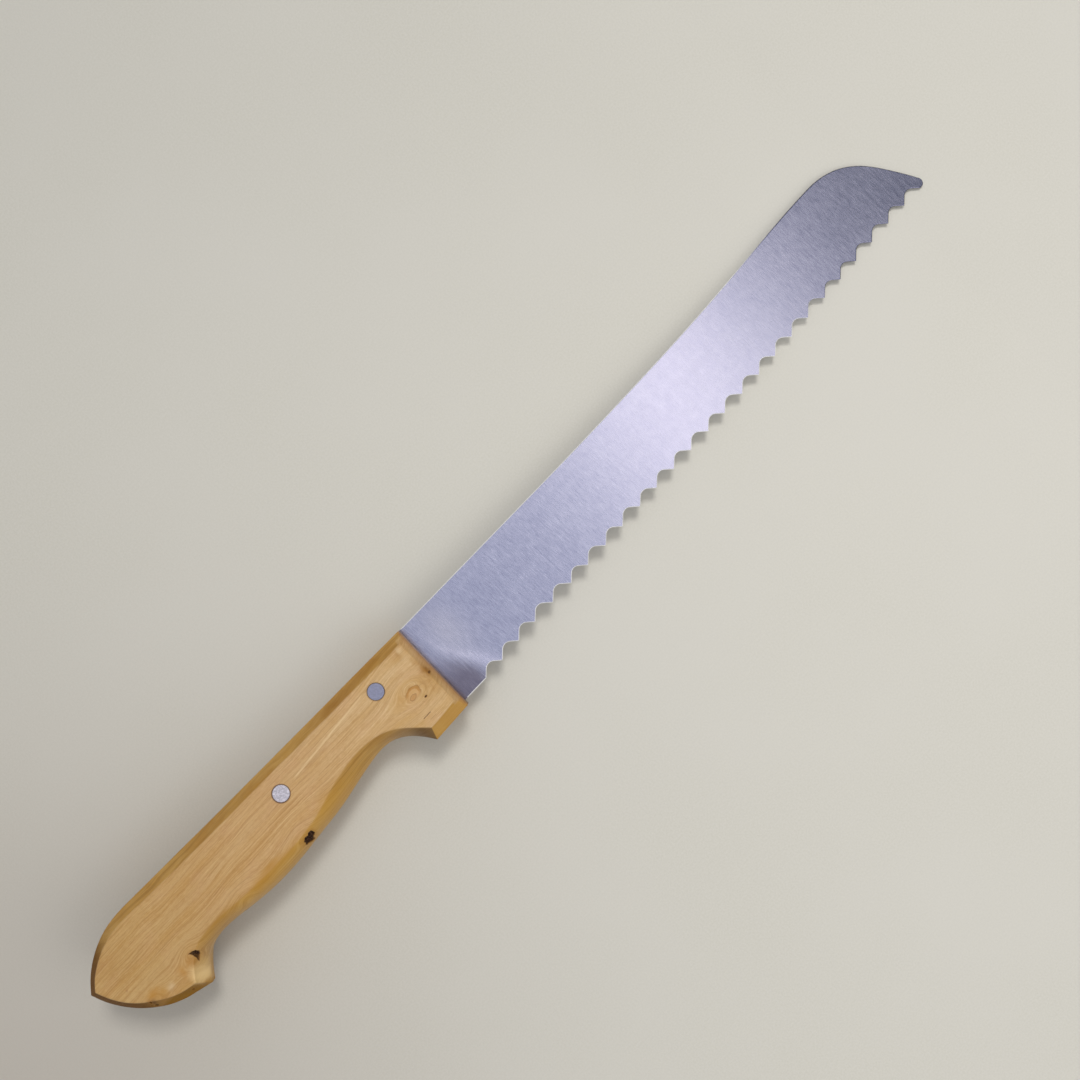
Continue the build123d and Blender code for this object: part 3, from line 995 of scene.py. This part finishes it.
def wood_material():
    material, t, shader = new_material("wood_boxwood_oiled")
    x, y, z = t.position()
    x, y = x - float(SHIFT[0]), y - float(SHIFT[1])
    upper = t.step(z, MID - 1.0, MID + 2.5)
    lower = 1.0 - upper
    sway = t.noise(x * 0.020, y * 0.05, z * 0.05, detail=2.0) - 0.5
    sway2 = t.noise(x * 0.055, y * 0.12, z * 0.12, detail=2.0) - 0.5
    psi = y + sway * 4.5 + sway2 * 1.2
    knots = [
        (-45.0, -1.1, 3.4, 1.35, 1), (-95.6, -8.9, 3.8, 1.2, 1), (-119.0, -9.4, 3.2, 1.1, 1),
        (-140.4, -8.2, 3.4, 1.0, 1), (-37.4, 0.0, 1.7, 1.1, 1), (-156.4, -9.4, 2.6, 1.2, 1),
        (-88.3, 3.1, 3.0, 1.4, 0), (-131.2, 4.8, 2.0, 1.3, 0), (-61.4, 8.4, 1.6, 1.3, 0),
    ]
    for kx, ky, r, stretch, on_top in knots:
        u, v = (x - kx) * (1 / stretch), y - ky
        psi = psi - v * (r * r) / (u * u + v * v + 0.35 * r * r) * (upper if on_top else lower)
    sway3 = t.noise(x * 0.13, y * 0.30, z * 0.3, detail=2.0) - 0.5
    psi = psi + sway3 * 0.55
    g = psi * 0.93 + z * 0.36
    broad = t.noise(x * 0.014, g * 0.22, 3.1, detail=3.0, rough=0.55)
    streak = t.noise(x * 0.028, g * 1.15, 7.7, detail=4.0, rough=0.62)
    fine = t.noise(x * 0.07, g * 3.4, z * 0.4, detail=3.0, rough=0.65)
    fibre = t.noise(x * 0.35, g * 11.0, z * 3.0, detail=2.0, rough=0.55)
    mottle = t.noise(x * 0.10, y * 0.16, z * 0.16, detail=3.0, rough=0.55)
    blotch = t.noise(x * 0.30, y * 0.45, z * 0.4, detail=3.0, rough=0.6)
    # growth rings as thin darker lines that come and go
    phase = g * 0.66 + (t.noise(x * 0.010, g * 0.17, 1.3) - 0.5) * 3.4
    saw = t.math("FRACT", phase)
    line = t.step(saw, 0.66, 0.97) * t.step(saw, 1.0, 0.985)
    line = line * t.step(t.noise(x * 0.030, g * 0.45, 5.0, detail=2.0), 0.36, 0.60)
    tan, gold, pale, rose = linear(214, 180, 132), linear(206, 166, 108), linear(230, 202, 156), linear(213, 174, 131)
    colour = t.mix(t.step(broad, 0.32, 0.68), tan, gold)
    colour = t.mix(t.step(mottle, 0.48, 0.70) * 0.5, colour, rose)
    colour = t.mix(t.step(streak, 0.54, 0.74) * 0.50, colour, pale)
    colour = t.mix(t.step(streak, 0.47, 0.30) * 0.55, colour, linear(186, 143, 86))
    colour = t.mix(line * 0.34, colour, linear(178, 134, 76))
    pores = t.noise(x * 0.7, g * 5.0, z * 4.0, detail=3.0, rough=0.65)
    colour = t.mix(t.step(pores, 0.50, 0.70) * 0.26, colour, linear(172, 128, 74))
    colour = t.mix(t.step(pores, 0.48, 0.30) * 0.24, colour, linear(240, 216, 174))
    colour = t.mix(t.step(fine, 0.52, 0.70) * 0.38, colour, linear(234, 208, 164))
    colour = t.mix(t.step(fine, 0.48, 0.32) * 0.46, colour, linear(178, 136, 84))
    colour = t.mix(t.step(blotch, 0.52, 0.70) * 0.20, colour, linear(190, 146, 84))
    flecks = t.step(t.noise(x * 0.8, g * 6.0, z * 6.0, detail=1.0), 0.68, 0.80)
    colour = t.mix(flecks * 0.30, colour, linear(160, 116, 64))
    # deeper and more golden towards the butt
    towards_butt = t.mix(t.step(x, -160.0, -92.0), linear(237, 229, 205), linear(246, 238, 227))
    towards_butt = t.mix(t.step(x, -98.0, -44.0), towards_butt, (1.0, 1.0, 1.0))
    colour = t.mix(1.0, colour, towards_butt, "MULTIPLY")
    # marks that belong to this handle, on its upper half
    streak_line = segment(t, x, y + sway2 * 0.3, (-86.0, 6.35), (-68.0, 7.75), 0.36) + segment(t, x, y + sway2 * 0.3, (-70.5, 7.6), (-54.5, 8.85), 0.30)
    colour = t.mix(streak_line * 0.38 * upper, colour, linear(244, 218, 170))
    wobble = (t.noise(x * 0.5, y * 0.5, 2.2, detail=3.0) - 0.5) * 2.2
    for kx, ky, a, b, share, tone in [
        (-39.1, 9.9, 1.0, 1.0, 0.42, (236, 210, 164)), (-40.3, 9.3, 0.7, 1.4, 0.5, (172, 126, 62)),
        (-38.4, 5.2, 0.7, 1.6, 0.45, (178, 132, 68)), (-41.6, 8.6, 1.2, 1.8, 0.35, (186, 140, 74)),
        (-145.4, -8.5, 1.1, 1.6, 0.62, (186, 132, 54)), (-142.3, -7.9, 1.3, 1.2, 0.50, (184, 130, 56)),
        (-141.0, -8.9, 1.2, 0.8, 0.5, (178, 124, 52)),
        (-155.2, -6.6, 1.9, 1.1, 0.75, (188, 134, 54)), (-153.4, -8.6, 1.8, 1.3, 0.60, (188, 138, 60)),
        (-157.2, -7.9, 1.2, 0.8, 0.60, (150, 98, 40)), (-150.5, -8.9, 1.2, 1.0, 0.45, (226, 200, 160)),
        (-143.0, -12.4, 1.6, 2.2, 0.75, (238, 208, 152)), (-141.0, -11.0, 1.1, 1.3, 0.55, (226, 190, 124)),
        (-39.6, -4.0, 1.2, 3.4, 0.30, (184, 138, 74)), (-37.9, 0.6, 1.3, 2.6, 0.80, (156, 106, 38)),
        (-57.0, -2.6, 5.0, 1.5, 0.30, (206, 166, 114)), (-161.0, 8.8, 6.0, 1.4, 0.3, (166, 114, 66)),
        (-48.5, -0.2, 2.2, 1.6, 0.35, (196, 148, 82)), (-159.7, -0.8, 0.35, 0.3, 0.5, (160, 104, 66)),
    ]:
        colour = t.mix(blob(t, x + wobble, y + wobble * 0.6, kx, ky, a, b) * share * upper, colour, linear(*tone))
    # the closed knot like an eye: a golden arc over its right, a reddish core
    kx, ky = x + 45.23, y + 1.64
    p, q = kx * 0.985 + ky * 0.174, ky * 0.985 - kx * 0.174
    blur = (t.noise(x * 0.7, y * 0.7, 4.4, detail=3.0) - 0.5)
    kd = t.math("SQRT", p * p * (1 / 7.3) + q * q * (1 / 3.3)) + blur * 0.42
    around = t.step(p * 0.42 + q * 0.55, -0.85, 0.55)
    inside = t.step(kd, 0.98, 0.70)
    colour = t.mix(inside * upper * 0.55, colour, linear(212, 166, 108))
    arc = t.step(kd, 0.58, 0.78) * t.step(kd, 1.10, 0.90)
    colour = t.mix(arc * around * 0.72 * upper, colour, linear(182, 128, 56))
    colour = t.mix(t.step(kd, 0.88, 0.96) * t.step(kd, 1.10, 1.02) * around * 0.40 * upper, colour, linear(150, 100, 44))
    colour = t.mix(arc * (1.0 - around) * 0.25 * upper, colour, linear(182, 134, 74))
    c1 = blob(t, x + blur * 1.2, y + blur, -45.9, -2.25, 1.0, 0.62)
    colour = t.mix(t.step(c1, 0.25, 0.75) * 0.48 * upper, colour, linear(184, 132, 74))
    colour = t.mix(t.step(c1, 0.18, 0.34) * t.step(c1, 0.62, 0.42) * 0.45 * upper, colour, linear(140, 92, 46))
    reach = t.math("SQRT", kx * kx * 0.62 + ky * ky * 0.9)
    ripples = t.math("SINE", reach * 4.4 + sway3 * 7.0 + blur * 3.0)
    colour = t.mix(t.step(ripples, -0.1, 0.9) * t.step(reach, 2.3, 3.2) * t.step(reach, 7.5, 4.0) * t.step(kx - ky * 0.3, 0.2, 3.0) * 0.22 * upper, colour, linear(172, 126, 66))
    dash = segment(t, x, y + blur * 0.25, (-48.4, -8.57), (-45.2, -8.57), 0.20, 0.3)
    colour = t.mix(dash * 0.85 * upper, colour, linear(116, 78, 40))
    dash2 = segment(t, x, y, (-47.2, -10.1), (-44.6, -10.1), 0.18, 0.3)
    colour = t.mix(dash2 * 0.35 * upper, colour, linear(160, 116, 64))
    # bevels: deeper and more golden than the flats, partly the oiled wood's own tone and partly painted shade
    # on faces turned from the light, darkest round the butt; the one against the blade is hardly darker than the
    # flat, but for its lip
    front = float(-36.38) + y * 0.0489 - x
    at_front = t.step(front, 2.6, 2.0) * t.step(y, 13.0, 12.0) * t.step(y, -12.6, -11.6)
    zone = t.attribute("zone") * (1.0 - at_front * 0.85)
    end_grain_and_shade = t.math("MAXIMUM", t.step(x, -150.0, -161.0), t.step(y, -9.0, -12.0) * t.step(x, -141.0, -148.0))
    deep = t.mix(t.step(streak, 0.35, 0.65), linear(176, 132, 64), linear(196, 154, 84))
    deep = t.mix(t.step(mottle, 0.42, 0.66) * 0.55, deep, linear(172, 122, 50))
    deep = t.mix(t.step(fine, 0.5, 0.72) * 0.28, deep, linear(212, 176, 112))
    deep = t.mix(t.step(fine, 0.48, 0.28) * 0.40, deep, linear(146, 102, 44))
    deep = t.mix(t.step(blotch, 0.50, 0.68) * 0.35, deep, linear(190, 142, 62))
    deep = t.mix(line * 0.45, deep, linear(140, 96, 38))
    # less of the painted bevel shade on the hook, whose facet there faces the light
    grip_side = t.step(y, -4.0, -7.0) * t.step(x, -146.0, -138.0)
    pale_hook = t.step(x + y * 0.55, -154.3, -152.6) * t.step(x, -134.0, -140.0) * t.step(y, -4.0, -8.0)
    colour = t.mix(zone * (0.92 - grip_side * 0.30 - pale_hook * 0.45), colour, deep)
    # painted shade: the butt's bevels, which face away from the light, turned dark brown over their darker end grain
    butt_shade_tone = t.mix(t.step(x, -153.0, -162.0), linear(142, 100, 30), linear(104, 66, 26))
    colour = t.mix(zone * end_grain_and_shade * (1.0 - pale_hook) * 0.86, colour, butt_shade_tone)
    # painted shade in the finger cove before the guard, which faces away from the light
    cove_shade = t.step(x, -62.0, -57.0) * t.step(x, -48.0, -51.0) * t.step(y, -4.0, -7.5)
    colour = t.mix(zone * cove_shade * 0.36, colour, linear(116, 78, 30))
    # painted shade: a dark line along the crease where the cove meets the guard's bevel
    mitre = x + 48.4 - (y + 11.79) * 0.495
    corner = t.step(x, -57.0, -51.5) * t.step(mitre, 0.12, -0.12) * t.step(y, -6.0, -10.5)
    colour = t.mix(zone * corner * 0.58, colour, linear(84, 56, 24))
    # less painted shade on the guard's bevel, which faces the light
    on_guard = t.step(mitre, -0.12, 0.12) * t.step(y, -10.4, -11.6) * t.step(x, -60.0, -56.0)
    colour = t.mix(zone * on_guard * 0.50, colour, linear(200, 150, 58))
    # less painted shade on the grip's under bevel, which the fill lights
    under = t.step(x, -128.0, -116.0) * t.step(x, -57.0, -64.0) * t.step(y, -2.6, -6.0)
    colour = t.mix(zone * under * 0.30, colour, linear(208, 160, 62))
    for kx, ky, a, b, share, tone in [
        (-112.7, -6.9, 3.8, 1.3, 0.55, (190, 138, 52)), (-107.5, -5.8, 4.4, 1.2, 0.70, (184, 132, 46)),
        (-101.5, -6.9, 3.2, 1.1, 0.45, (188, 140, 60)), (-127.0, -5.6, 5.0, 0.9, 0.55, (180, 132, 52)),
        (-118.0, -9.6, 4.0, 1.4, 0.40, (196, 158, 104)), (-134.0, -7.0, 3.0, 1.0, 0.35, (188, 142, 62)),
        (-84.5, -5.6, 4.0, 1.6, 0.45, (192, 144, 58)), (-79.0, -4.2, 4.0, 1.4, 0.35, (190, 142, 60)),
        (-64.5, 12.9, 7.0, 1.3, 0.50, (142, 90, 18)), (-48.0, 12.9, 7.0, 1.3, 0.42, (158, 104, 24)),
        (-80.0, 13.5, 6.0, 1.2, 0.30, (170, 120, 44)), (-58.5, -5.2, 2.0, 2.0, 0.30, (176, 128, 54)),
        (-143.6, -13.6, 1.5, 2.6, 0.70, (246, 214, 154)), (-157.5, -8.6, 0.9, 0.9, 0.70, (92, 58, 24)),
    ]:
        colour = t.mix(blob(t, x + wobble, y + wobble * 0.6, kx, ky, a, b) * share * upper, colour, linear(*tone))
    # grime round the pins, more at the rear one
    for centre, share in ((PINS["front_pin"] - SHIFT, 0.35), (PINS["rear_pin"] - SHIFT, 0.80)):
        cx, cy = x - float(centre[0]), y - float(centre[1])
        ring = t.math("SQRT", cx * cx + cy * cy)
        colour = t.mix(t.step(ring, PIN_RADIUS + 0.42, PIN_RADIUS + 0.12) * share, colour, linear(104, 76, 62))
    colour = t.mix(at_front * 0.22, colour, linear(180, 138, 80))
    lip = t.step(front, 1.0, 0.1) * t.step(z, TOP - 0.2, TOP - 1.2)
    colour = t.mix(lip * 0.50, colour, linear(164, 112, 66))
    amber = blob(t, x + wobble * 0.25, y + wobble * 0.25, -37.75, 0.35, 0.55, 1.25)
    colour = t.mix(amber * 0.62 * upper, colour, linear(146, 96, 30))
    # painted shade: a dark band on the handle's front face close above and below the blade, where the two meet
    seam_shade = t.step(front, 0.9, 0.5) * t.step(t.math("ABSOLUTE", z - MID), 3.6, 1.6)
    colour = t.mix(seam_shade * 0.82, colour, linear(66, 48, 42))
    # open knots: amber halo, dark hole
    halo, pit = t.attribute("halo"), t.attribute("pit")
    colour = t.mix(t.step(halo, 0.1, 0.9) * 0.45, colour, linear(170, 118, 48))
    ragged = pit + (t.noise(x * 1.6, y * 1.6, z * 1.6, detail=3.0) - 0.5) * 0.35
    colour = t.mix(t.step(ragged, 0.22, 0.50) * 0.65, colour, linear(124, 82, 38))
    colour = t.mix(t.step(ragged, 0.42, 0.85) * 0.97, colour, linear(46, 27, 17))
    colour = t.mix(t.step(ragged, 0.60, 1.0) * t.step(t.noise(x * 2.2, y * 2.2, z * 2.2, detail=2.0), 0.50, 0.66) * 0.6, colour, linear(124, 90, 66))
    t.put(shader.inputs["Base Color"], colour)
    t.put(shader.inputs["Specular IOR Level"], 0.5 - zone * (0.25 + end_grain_and_shade * 0.22))
    shader.inputs["IOR"].default_value = 1.46
    rough = 0.40 + (fibre - 0.5) * 0.22 + (mottle - 0.5) * 0.16 + t.step(pit, 0.2, 0.8) * 0.35 - zone * 0.03
    t.put(shader.inputs["Roughness"], rough)
    height = fibre * 0.55 + fine * 0.45 - line * 0.35 - flecks * 0.5 + t.noise(x * 1.4, y * 1.4, z * 1.4, detail=4.0) * t.step(pit, 0.2, 0.7) * 6.0
    bump(t, shader, height, 0.00006, 0.75)
    return material


def steel_material():
    material, t, shader = new_material("blade_brushed_steel")
    x, y, z = t.position()
    xs = x + y * 0.035
    wander = t.noise(x * 0.10, y * 0.10, 1.0, detail=1.0)
    xs = xs + (wander - 0.5) * 0.3
    grit = t.noise(xs * 4.2, y * 0.42, z * 0.6, detail=3.0, rough=0.7)
    line = t.noise(xs * 1.7, y * 0.17, z * 0.4, detail=3.0, rough=0.6)
    long = t.noise(xs * 0.42, y * 0.05, 2.0, detail=2.0, rough=0.5)
    cloud = t.noise(x * 0.055, y * 0.07, 4.0, detail=3.0, rough=0.55)
    mottle = t.noise(x * 0.35, y * 0.35, 6.0, detail=3.0, rough=0.6)
    speck = t.noise(xs * 9.0, y * 0.9, z, detail=1.0)
    shade = (grit - 0.5) * 0.90 + (line - 0.5) * 0.36 + (long - 0.5) * 0.12 + (cloud - 0.5) * 0.27 + (mottle - 0.5) * 0.30
    base = t.mix(t.math("ADD", shade, 0.5, clamp=True), linear(157, 162, 199), linear(222, 226, 255))
    base = t.mix(t.step(speck, 0.74, 0.80) * 0.35, base, linear(126, 126, 146))
    # painted dark reflection: the flat behind the grind is darkened, and runs out diagonally
    edge_in = x - float(SHIFT[0]) + 33.9 - t.step(y, 4.5, -12.5) * 6.3 + (cloud - 0.5) * 1.6
    heel_dark_reflection = t.step(edge_in + (line - 0.5) * 3.0, 3.2, -2.6) * (0.14 + t.step(y, 4.5, -9.5) * 0.86)
    base = t.mix(heel_dark_reflection, base, linear(186, 177, 177), "MULTIPLY")
    # painted bright reflection: a pale band on the flat beside the heel
    base = t.mix(blob(t, x, y, float(SHIFT[0]) - 26.5, float(SHIFT[1]) + 4.5, 5.5, 9.0) * 0.42, base, linear(234, 232, 250))
    edge = t.attribute("rim")
    out_of_wood = t.step(x - float(SHIFT[0]) - y * 0.0489, -36.6, -36.0)
    # painted dark reflection along the narrow edges near the tip
    base = t.mix(t.step(edge, 0.06, 0.40) * t.step(x, 112.0, 138.0) * 0.75, base, linear(74, 70, 90))
    # painted highlight: the narrow edges of the spine and teeth made near white and less metallic, as if catching the
    # light
    edge_glint = t.step(edge, 0.06, 0.34) * t.step(x, 132.0, 104.0) * out_of_wood
    base = t.mix(edge_glint, base, linear(252, 252, 254))
    t.put(shader.inputs["Base Color"], base)
    t.put(shader.inputs["Metallic"], 1.0 - edge_glint * 0.85)
    rough = 0.20 + (grit - 0.5) * 0.12 + (line - 0.5) * 0.08 + (cloud - 0.5) * 0.05 + edge_glint * 0.2
    t.put(shader.inputs["Roughness"], rough)
    shader.inputs["Anisotropic"].default_value = 0.6
    tangent = t.node("ShaderNodeTangent", direction_type="UV_MAP", uv_map="brush")
    t.tree.links.new(tangent.outputs[0], shader.inputs["Tangent"])
    bump(t, shader, grit * 0.7 + line * 0.5, 0.000006, 0.6)
    return material


def pin_material(name, marks, tone, metal):
    material, t, shader = new_material(name)
    x, y, z = t.position()
    a = x * 0.82 + y * 0.57
    b = y * 0.82 - x * 0.57
    file_marks = t.noise(a * 5.0, b * 0.5, z * 0.5, detail=3.0, rough=0.65)
    spots = t.noise(x * 1.5, y * 1.5, z * 1.5, detail=3.0, rough=0.6)
    patch = t.step(spots, 0.44, 0.62)
    dark, light = linear(*[c * 0.82 for c in tone]), linear(*[min(255, c * 1.10) for c in tone])
    base = t.mix(0.25 + (file_marks - 0.5) * 1.5 * marks + patch * 0.50 * marks, dark, light)
    t.put(shader.inputs["Base Color"], base)
    shader.inputs["Metallic"].default_value = metal
    t.put(shader.inputs["Roughness"], 0.36 + (spots - 0.5) * 0.2 + patch * 0.12 * marks)
    bump(t, shader, file_marks * 0.6 + spots * 0.6, 0.00004 * marks, 0.7)
    return material


wood_piece.data.materials.append(wood_material())
blade_piece.data.materials.append(steel_material())
front_piece.data.materials.append(pin_material("pin_aluminium_smooth", 0.35, (192, 195, 225), 1.0))
rear_piece.data.materials.append(pin_material("pin_aluminium_filed", 1.0, (224, 220, 236), 0.40))

for piece, node, slot in (
    (wood_piece, "handle", "wood"),
    (blade_piece, "blade", "steel"),
    (front_piece, "front_pin", "pin_metal"),
    (rear_piece, "rear_pin", "pin_metal"),
):
    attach(piece, "root")
    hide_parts(node)

# -------------------------------------------------------------------- camera
# Nearly straight above the flat of the knife, the knife running up to the
# right across the picture.
lean = math.radians(2.35)
normal = Vector((-math.sin(lean), 0, math.cos(lean)))
along = Vector((math.cos(lean), 0, math.sin(lean)))
across = Vector((0, 1, 0))
target = Vector((11.74 + SHIFT[0], 2.57 + SHIFT[1], MID)) * MM
right = 0.6899 * along - 0.7239 * across
up = 0.7239 * along + 0.6899 * across
camera_data = bpy.data.cameras.new("camera")
camera_data.sensor_fit = "HORIZONTAL"
camera_data.sensor_width = 36
camera_data.lens = 36
camera_data.clip_start, camera_data.clip_end = 0.01, 20
camera = bpy.data.objects.new("camera", camera_data)
bpy.context.scene.collection.objects.link(camera)
basis = Matrix((right, up, normal)).transposed()
camera.matrix_world = Matrix.Translation(target + normal * 0.318) @ basis.to_4x4()
bpy.context.scene.camera = camera

# --------------------------------------------------------------------- floor
# The knife rests on its nose and on the lower front edge of the handle, so
# the floor rises towards the tip, then levels out beyond it.
rest_x, slope = -38.0, 0.0415


def floor_height(fx):
    fx = np.asarray(fx, float)
    s = smooth01(fx, 160, 196)
    xs = np.linspace(-2500, 2500, 20001)
    rate = slope * (1 - smooth01(xs, 160, 196) * 1.25) * smooth01(xs, -700, -260)
    z = np.concatenate([[0], np.cumsum((rate[1:] + rate[:-1]) / 2 * np.diff(xs))])
    z -= np.interp(rest_x, xs, z)
    z = np.where(xs > 430, np.interp(430, xs, z), z)
    # a slight rise of the table just before the nose, where its shadow is tight
    z = z + 0.62 * smooth01(xs, 92, 134) * (1 - smooth01(xs, 140, 158))
    return np.interp(fx, xs, z)


floor_shell = Shell()
fx = np.concatenate([np.linspace(-2400, -500, 12), np.linspace(-450, 150, 40), np.linspace(155, 205, 26), np.linspace(215, 440, 12), np.linspace(600, 2400, 10)])
fy = np.linspace(-2400, 2400, 30)
heights = floor_height(fx) + BOTTOM - 0.02
grid = [floor_shell.add(np.c_[fx, np.full(len(fx), v), heights]) for v in fy]
for a, b in zip(grid, grid[1:]):
    floor_shell.strip(a, b)
floor = floor_shell.to_object("floor")
for polygon in floor.data.polygons:
    polygon.use_smooth = True
floor_mat, ft, floor_shader = new_material("floor_pale")
px, py, pz = ft.position()
cloud = ft.noise(px * 0.012, py * 0.012, 0.0, detail=3.0, rough=0.5)
grain = ft.noise(px * 1.6, py * 1.6, 0.0, detail=4.0, rough=0.6)
floor_colour = ft.mix(ft.step(cloud, 0.3, 0.7), linear(218, 216, 206), linear(222, 220, 212))
floor_colour = ft.mix(ft.step(grain, 0.25, 0.75), floor_colour, linear(225, 223, 215))
# painted shade: a little darker to the left of the picture and towards its top, as if further from the window
aside = px * 0.69 - py * 0.724
away = px * 0.724 + py * 0.69
fall = ft.step(aside, -230.0, 150.0) * 0.13 + 0.87 - ft.step(away, 10.0, 200.0) * 0.075
floor_colour = ft.mix(1.0, floor_colour, ft.vec(fall, fall, fall), "MULTIPLY")
# painted shade: a warm darker patch on the floor round and beyond the butt
floor_colour = ft.mix(blob(ft, px, py, -235.0, -5.0, 120.0, 120.0) * 0.34, floor_colour, linear(154, 137, 124))
ft.put(floor_shader.inputs["Base Color"], floor_colour)
floor_shader.inputs["Roughness"].default_value = 0.75
floor_shader.inputs["Specular IOR Level"].default_value = 0.2
bump(ft, floor_shader, grain, 0.00008, 0.35)
floor.data.materials.append(floor_mat)

# --------------------------------------------------------------------- light
scene = bpy.context.scene
scene.view_settings.view_transform = "Standard"
scene.view_settings.look = "None"
scene.view_settings.exposure = 0
scene.view_settings.gamma = 1

# A soft pale room, as the flat of the blade mirrors it: an even ceiling, a
# brighter strip a little beyond the knife's middle, and a dim stretch past it.
world = bpy.data.worlds.new("studio")
scene.world = world
world.use_nodes = True
world.node_tree.nodes.clear()
w = Tree(world.node_tree)
coord = w.node("ShaderNodeTexCoord")
split = w.node("ShaderNodeSeparateXYZ")
world.node_tree.links.new(coord.outputs["Generated"], split.inputs[0])
dx, dy, dz = (Value(w, o) for o in split.outputs)
ax = w.math("ARCTAN2", dx, w.math("MAXIMUM", dz, 0.001)) * (180 / math.pi)
ay = w.math("ARCTAN2", dy, w.math("MAXIMUM", dz, 0.001)) * (180 / math.pi)
u = (ax - 12.9) * (1 / 4.2)
v = ay * (1 / 30.0)
patch = w.math("EXPONENT", (u * u + v * v) * -1.0)
dim = w.step(ax, 18.0, 26.0) * w.step(ax, 60.0, 40.0) * w.step(w.math("ABSOLUTE", ay), 46.0, 26.0)
near = w.step(w.math("SQRT", ax * ax + ay * ay), 80.0, 38.0)
level = 0.24 + near * (0.315 - dim * 0.41) + patch * 1.69
level = level * w.step(dz, -0.15, 0.25, 0.55, 1.0)
background = w.node("ShaderNodeBackground")
w.put(background.inputs[0], w.mix(patch, (0.99, 1.0, 1.025), (1.15, 1.0, 0.83)))
w.put(background.inputs[1], level)
out = w.node("ShaderNodeOutputWorld")
world.node_tree.links.new(background.outputs[0], out.inputs[0])


def area(name, place, aim, size, power, colour=(1, 1, 1)):
    data = bpy.data.lights.new(name, "AREA")
    data.shape = "RECTANGLE"
    data.size, data.size_y = size
    data.energy = power
    data.color = colour
    obj = bpy.data.objects.new(name, data)
    obj.location = place
    obj.rotation_mode = "QUATERNION"
    obj.rotation_quaternion = (Vector(aim) - Vector(place)).to_track_quat("-Z", "Y")
    obj.visible_glossy = False
    scene.collection.objects.link(obj)
    return obj


# A fairly small key high over the spine's side beyond the tip, and a broad
# fill from the cutting edge's side of it.
area("key", (0.50, 0.43, 1.18), (0.0, 0.0, 0.0), (0.32, 0.32), 6.9, (1.0, 0.98, 0.945))
area("fill", (0.48, -0.88, 0.80), (0.0, 0.0, 0.0), (1.0, 1.0), 3.5, (1.0, 0.975, 0.93))
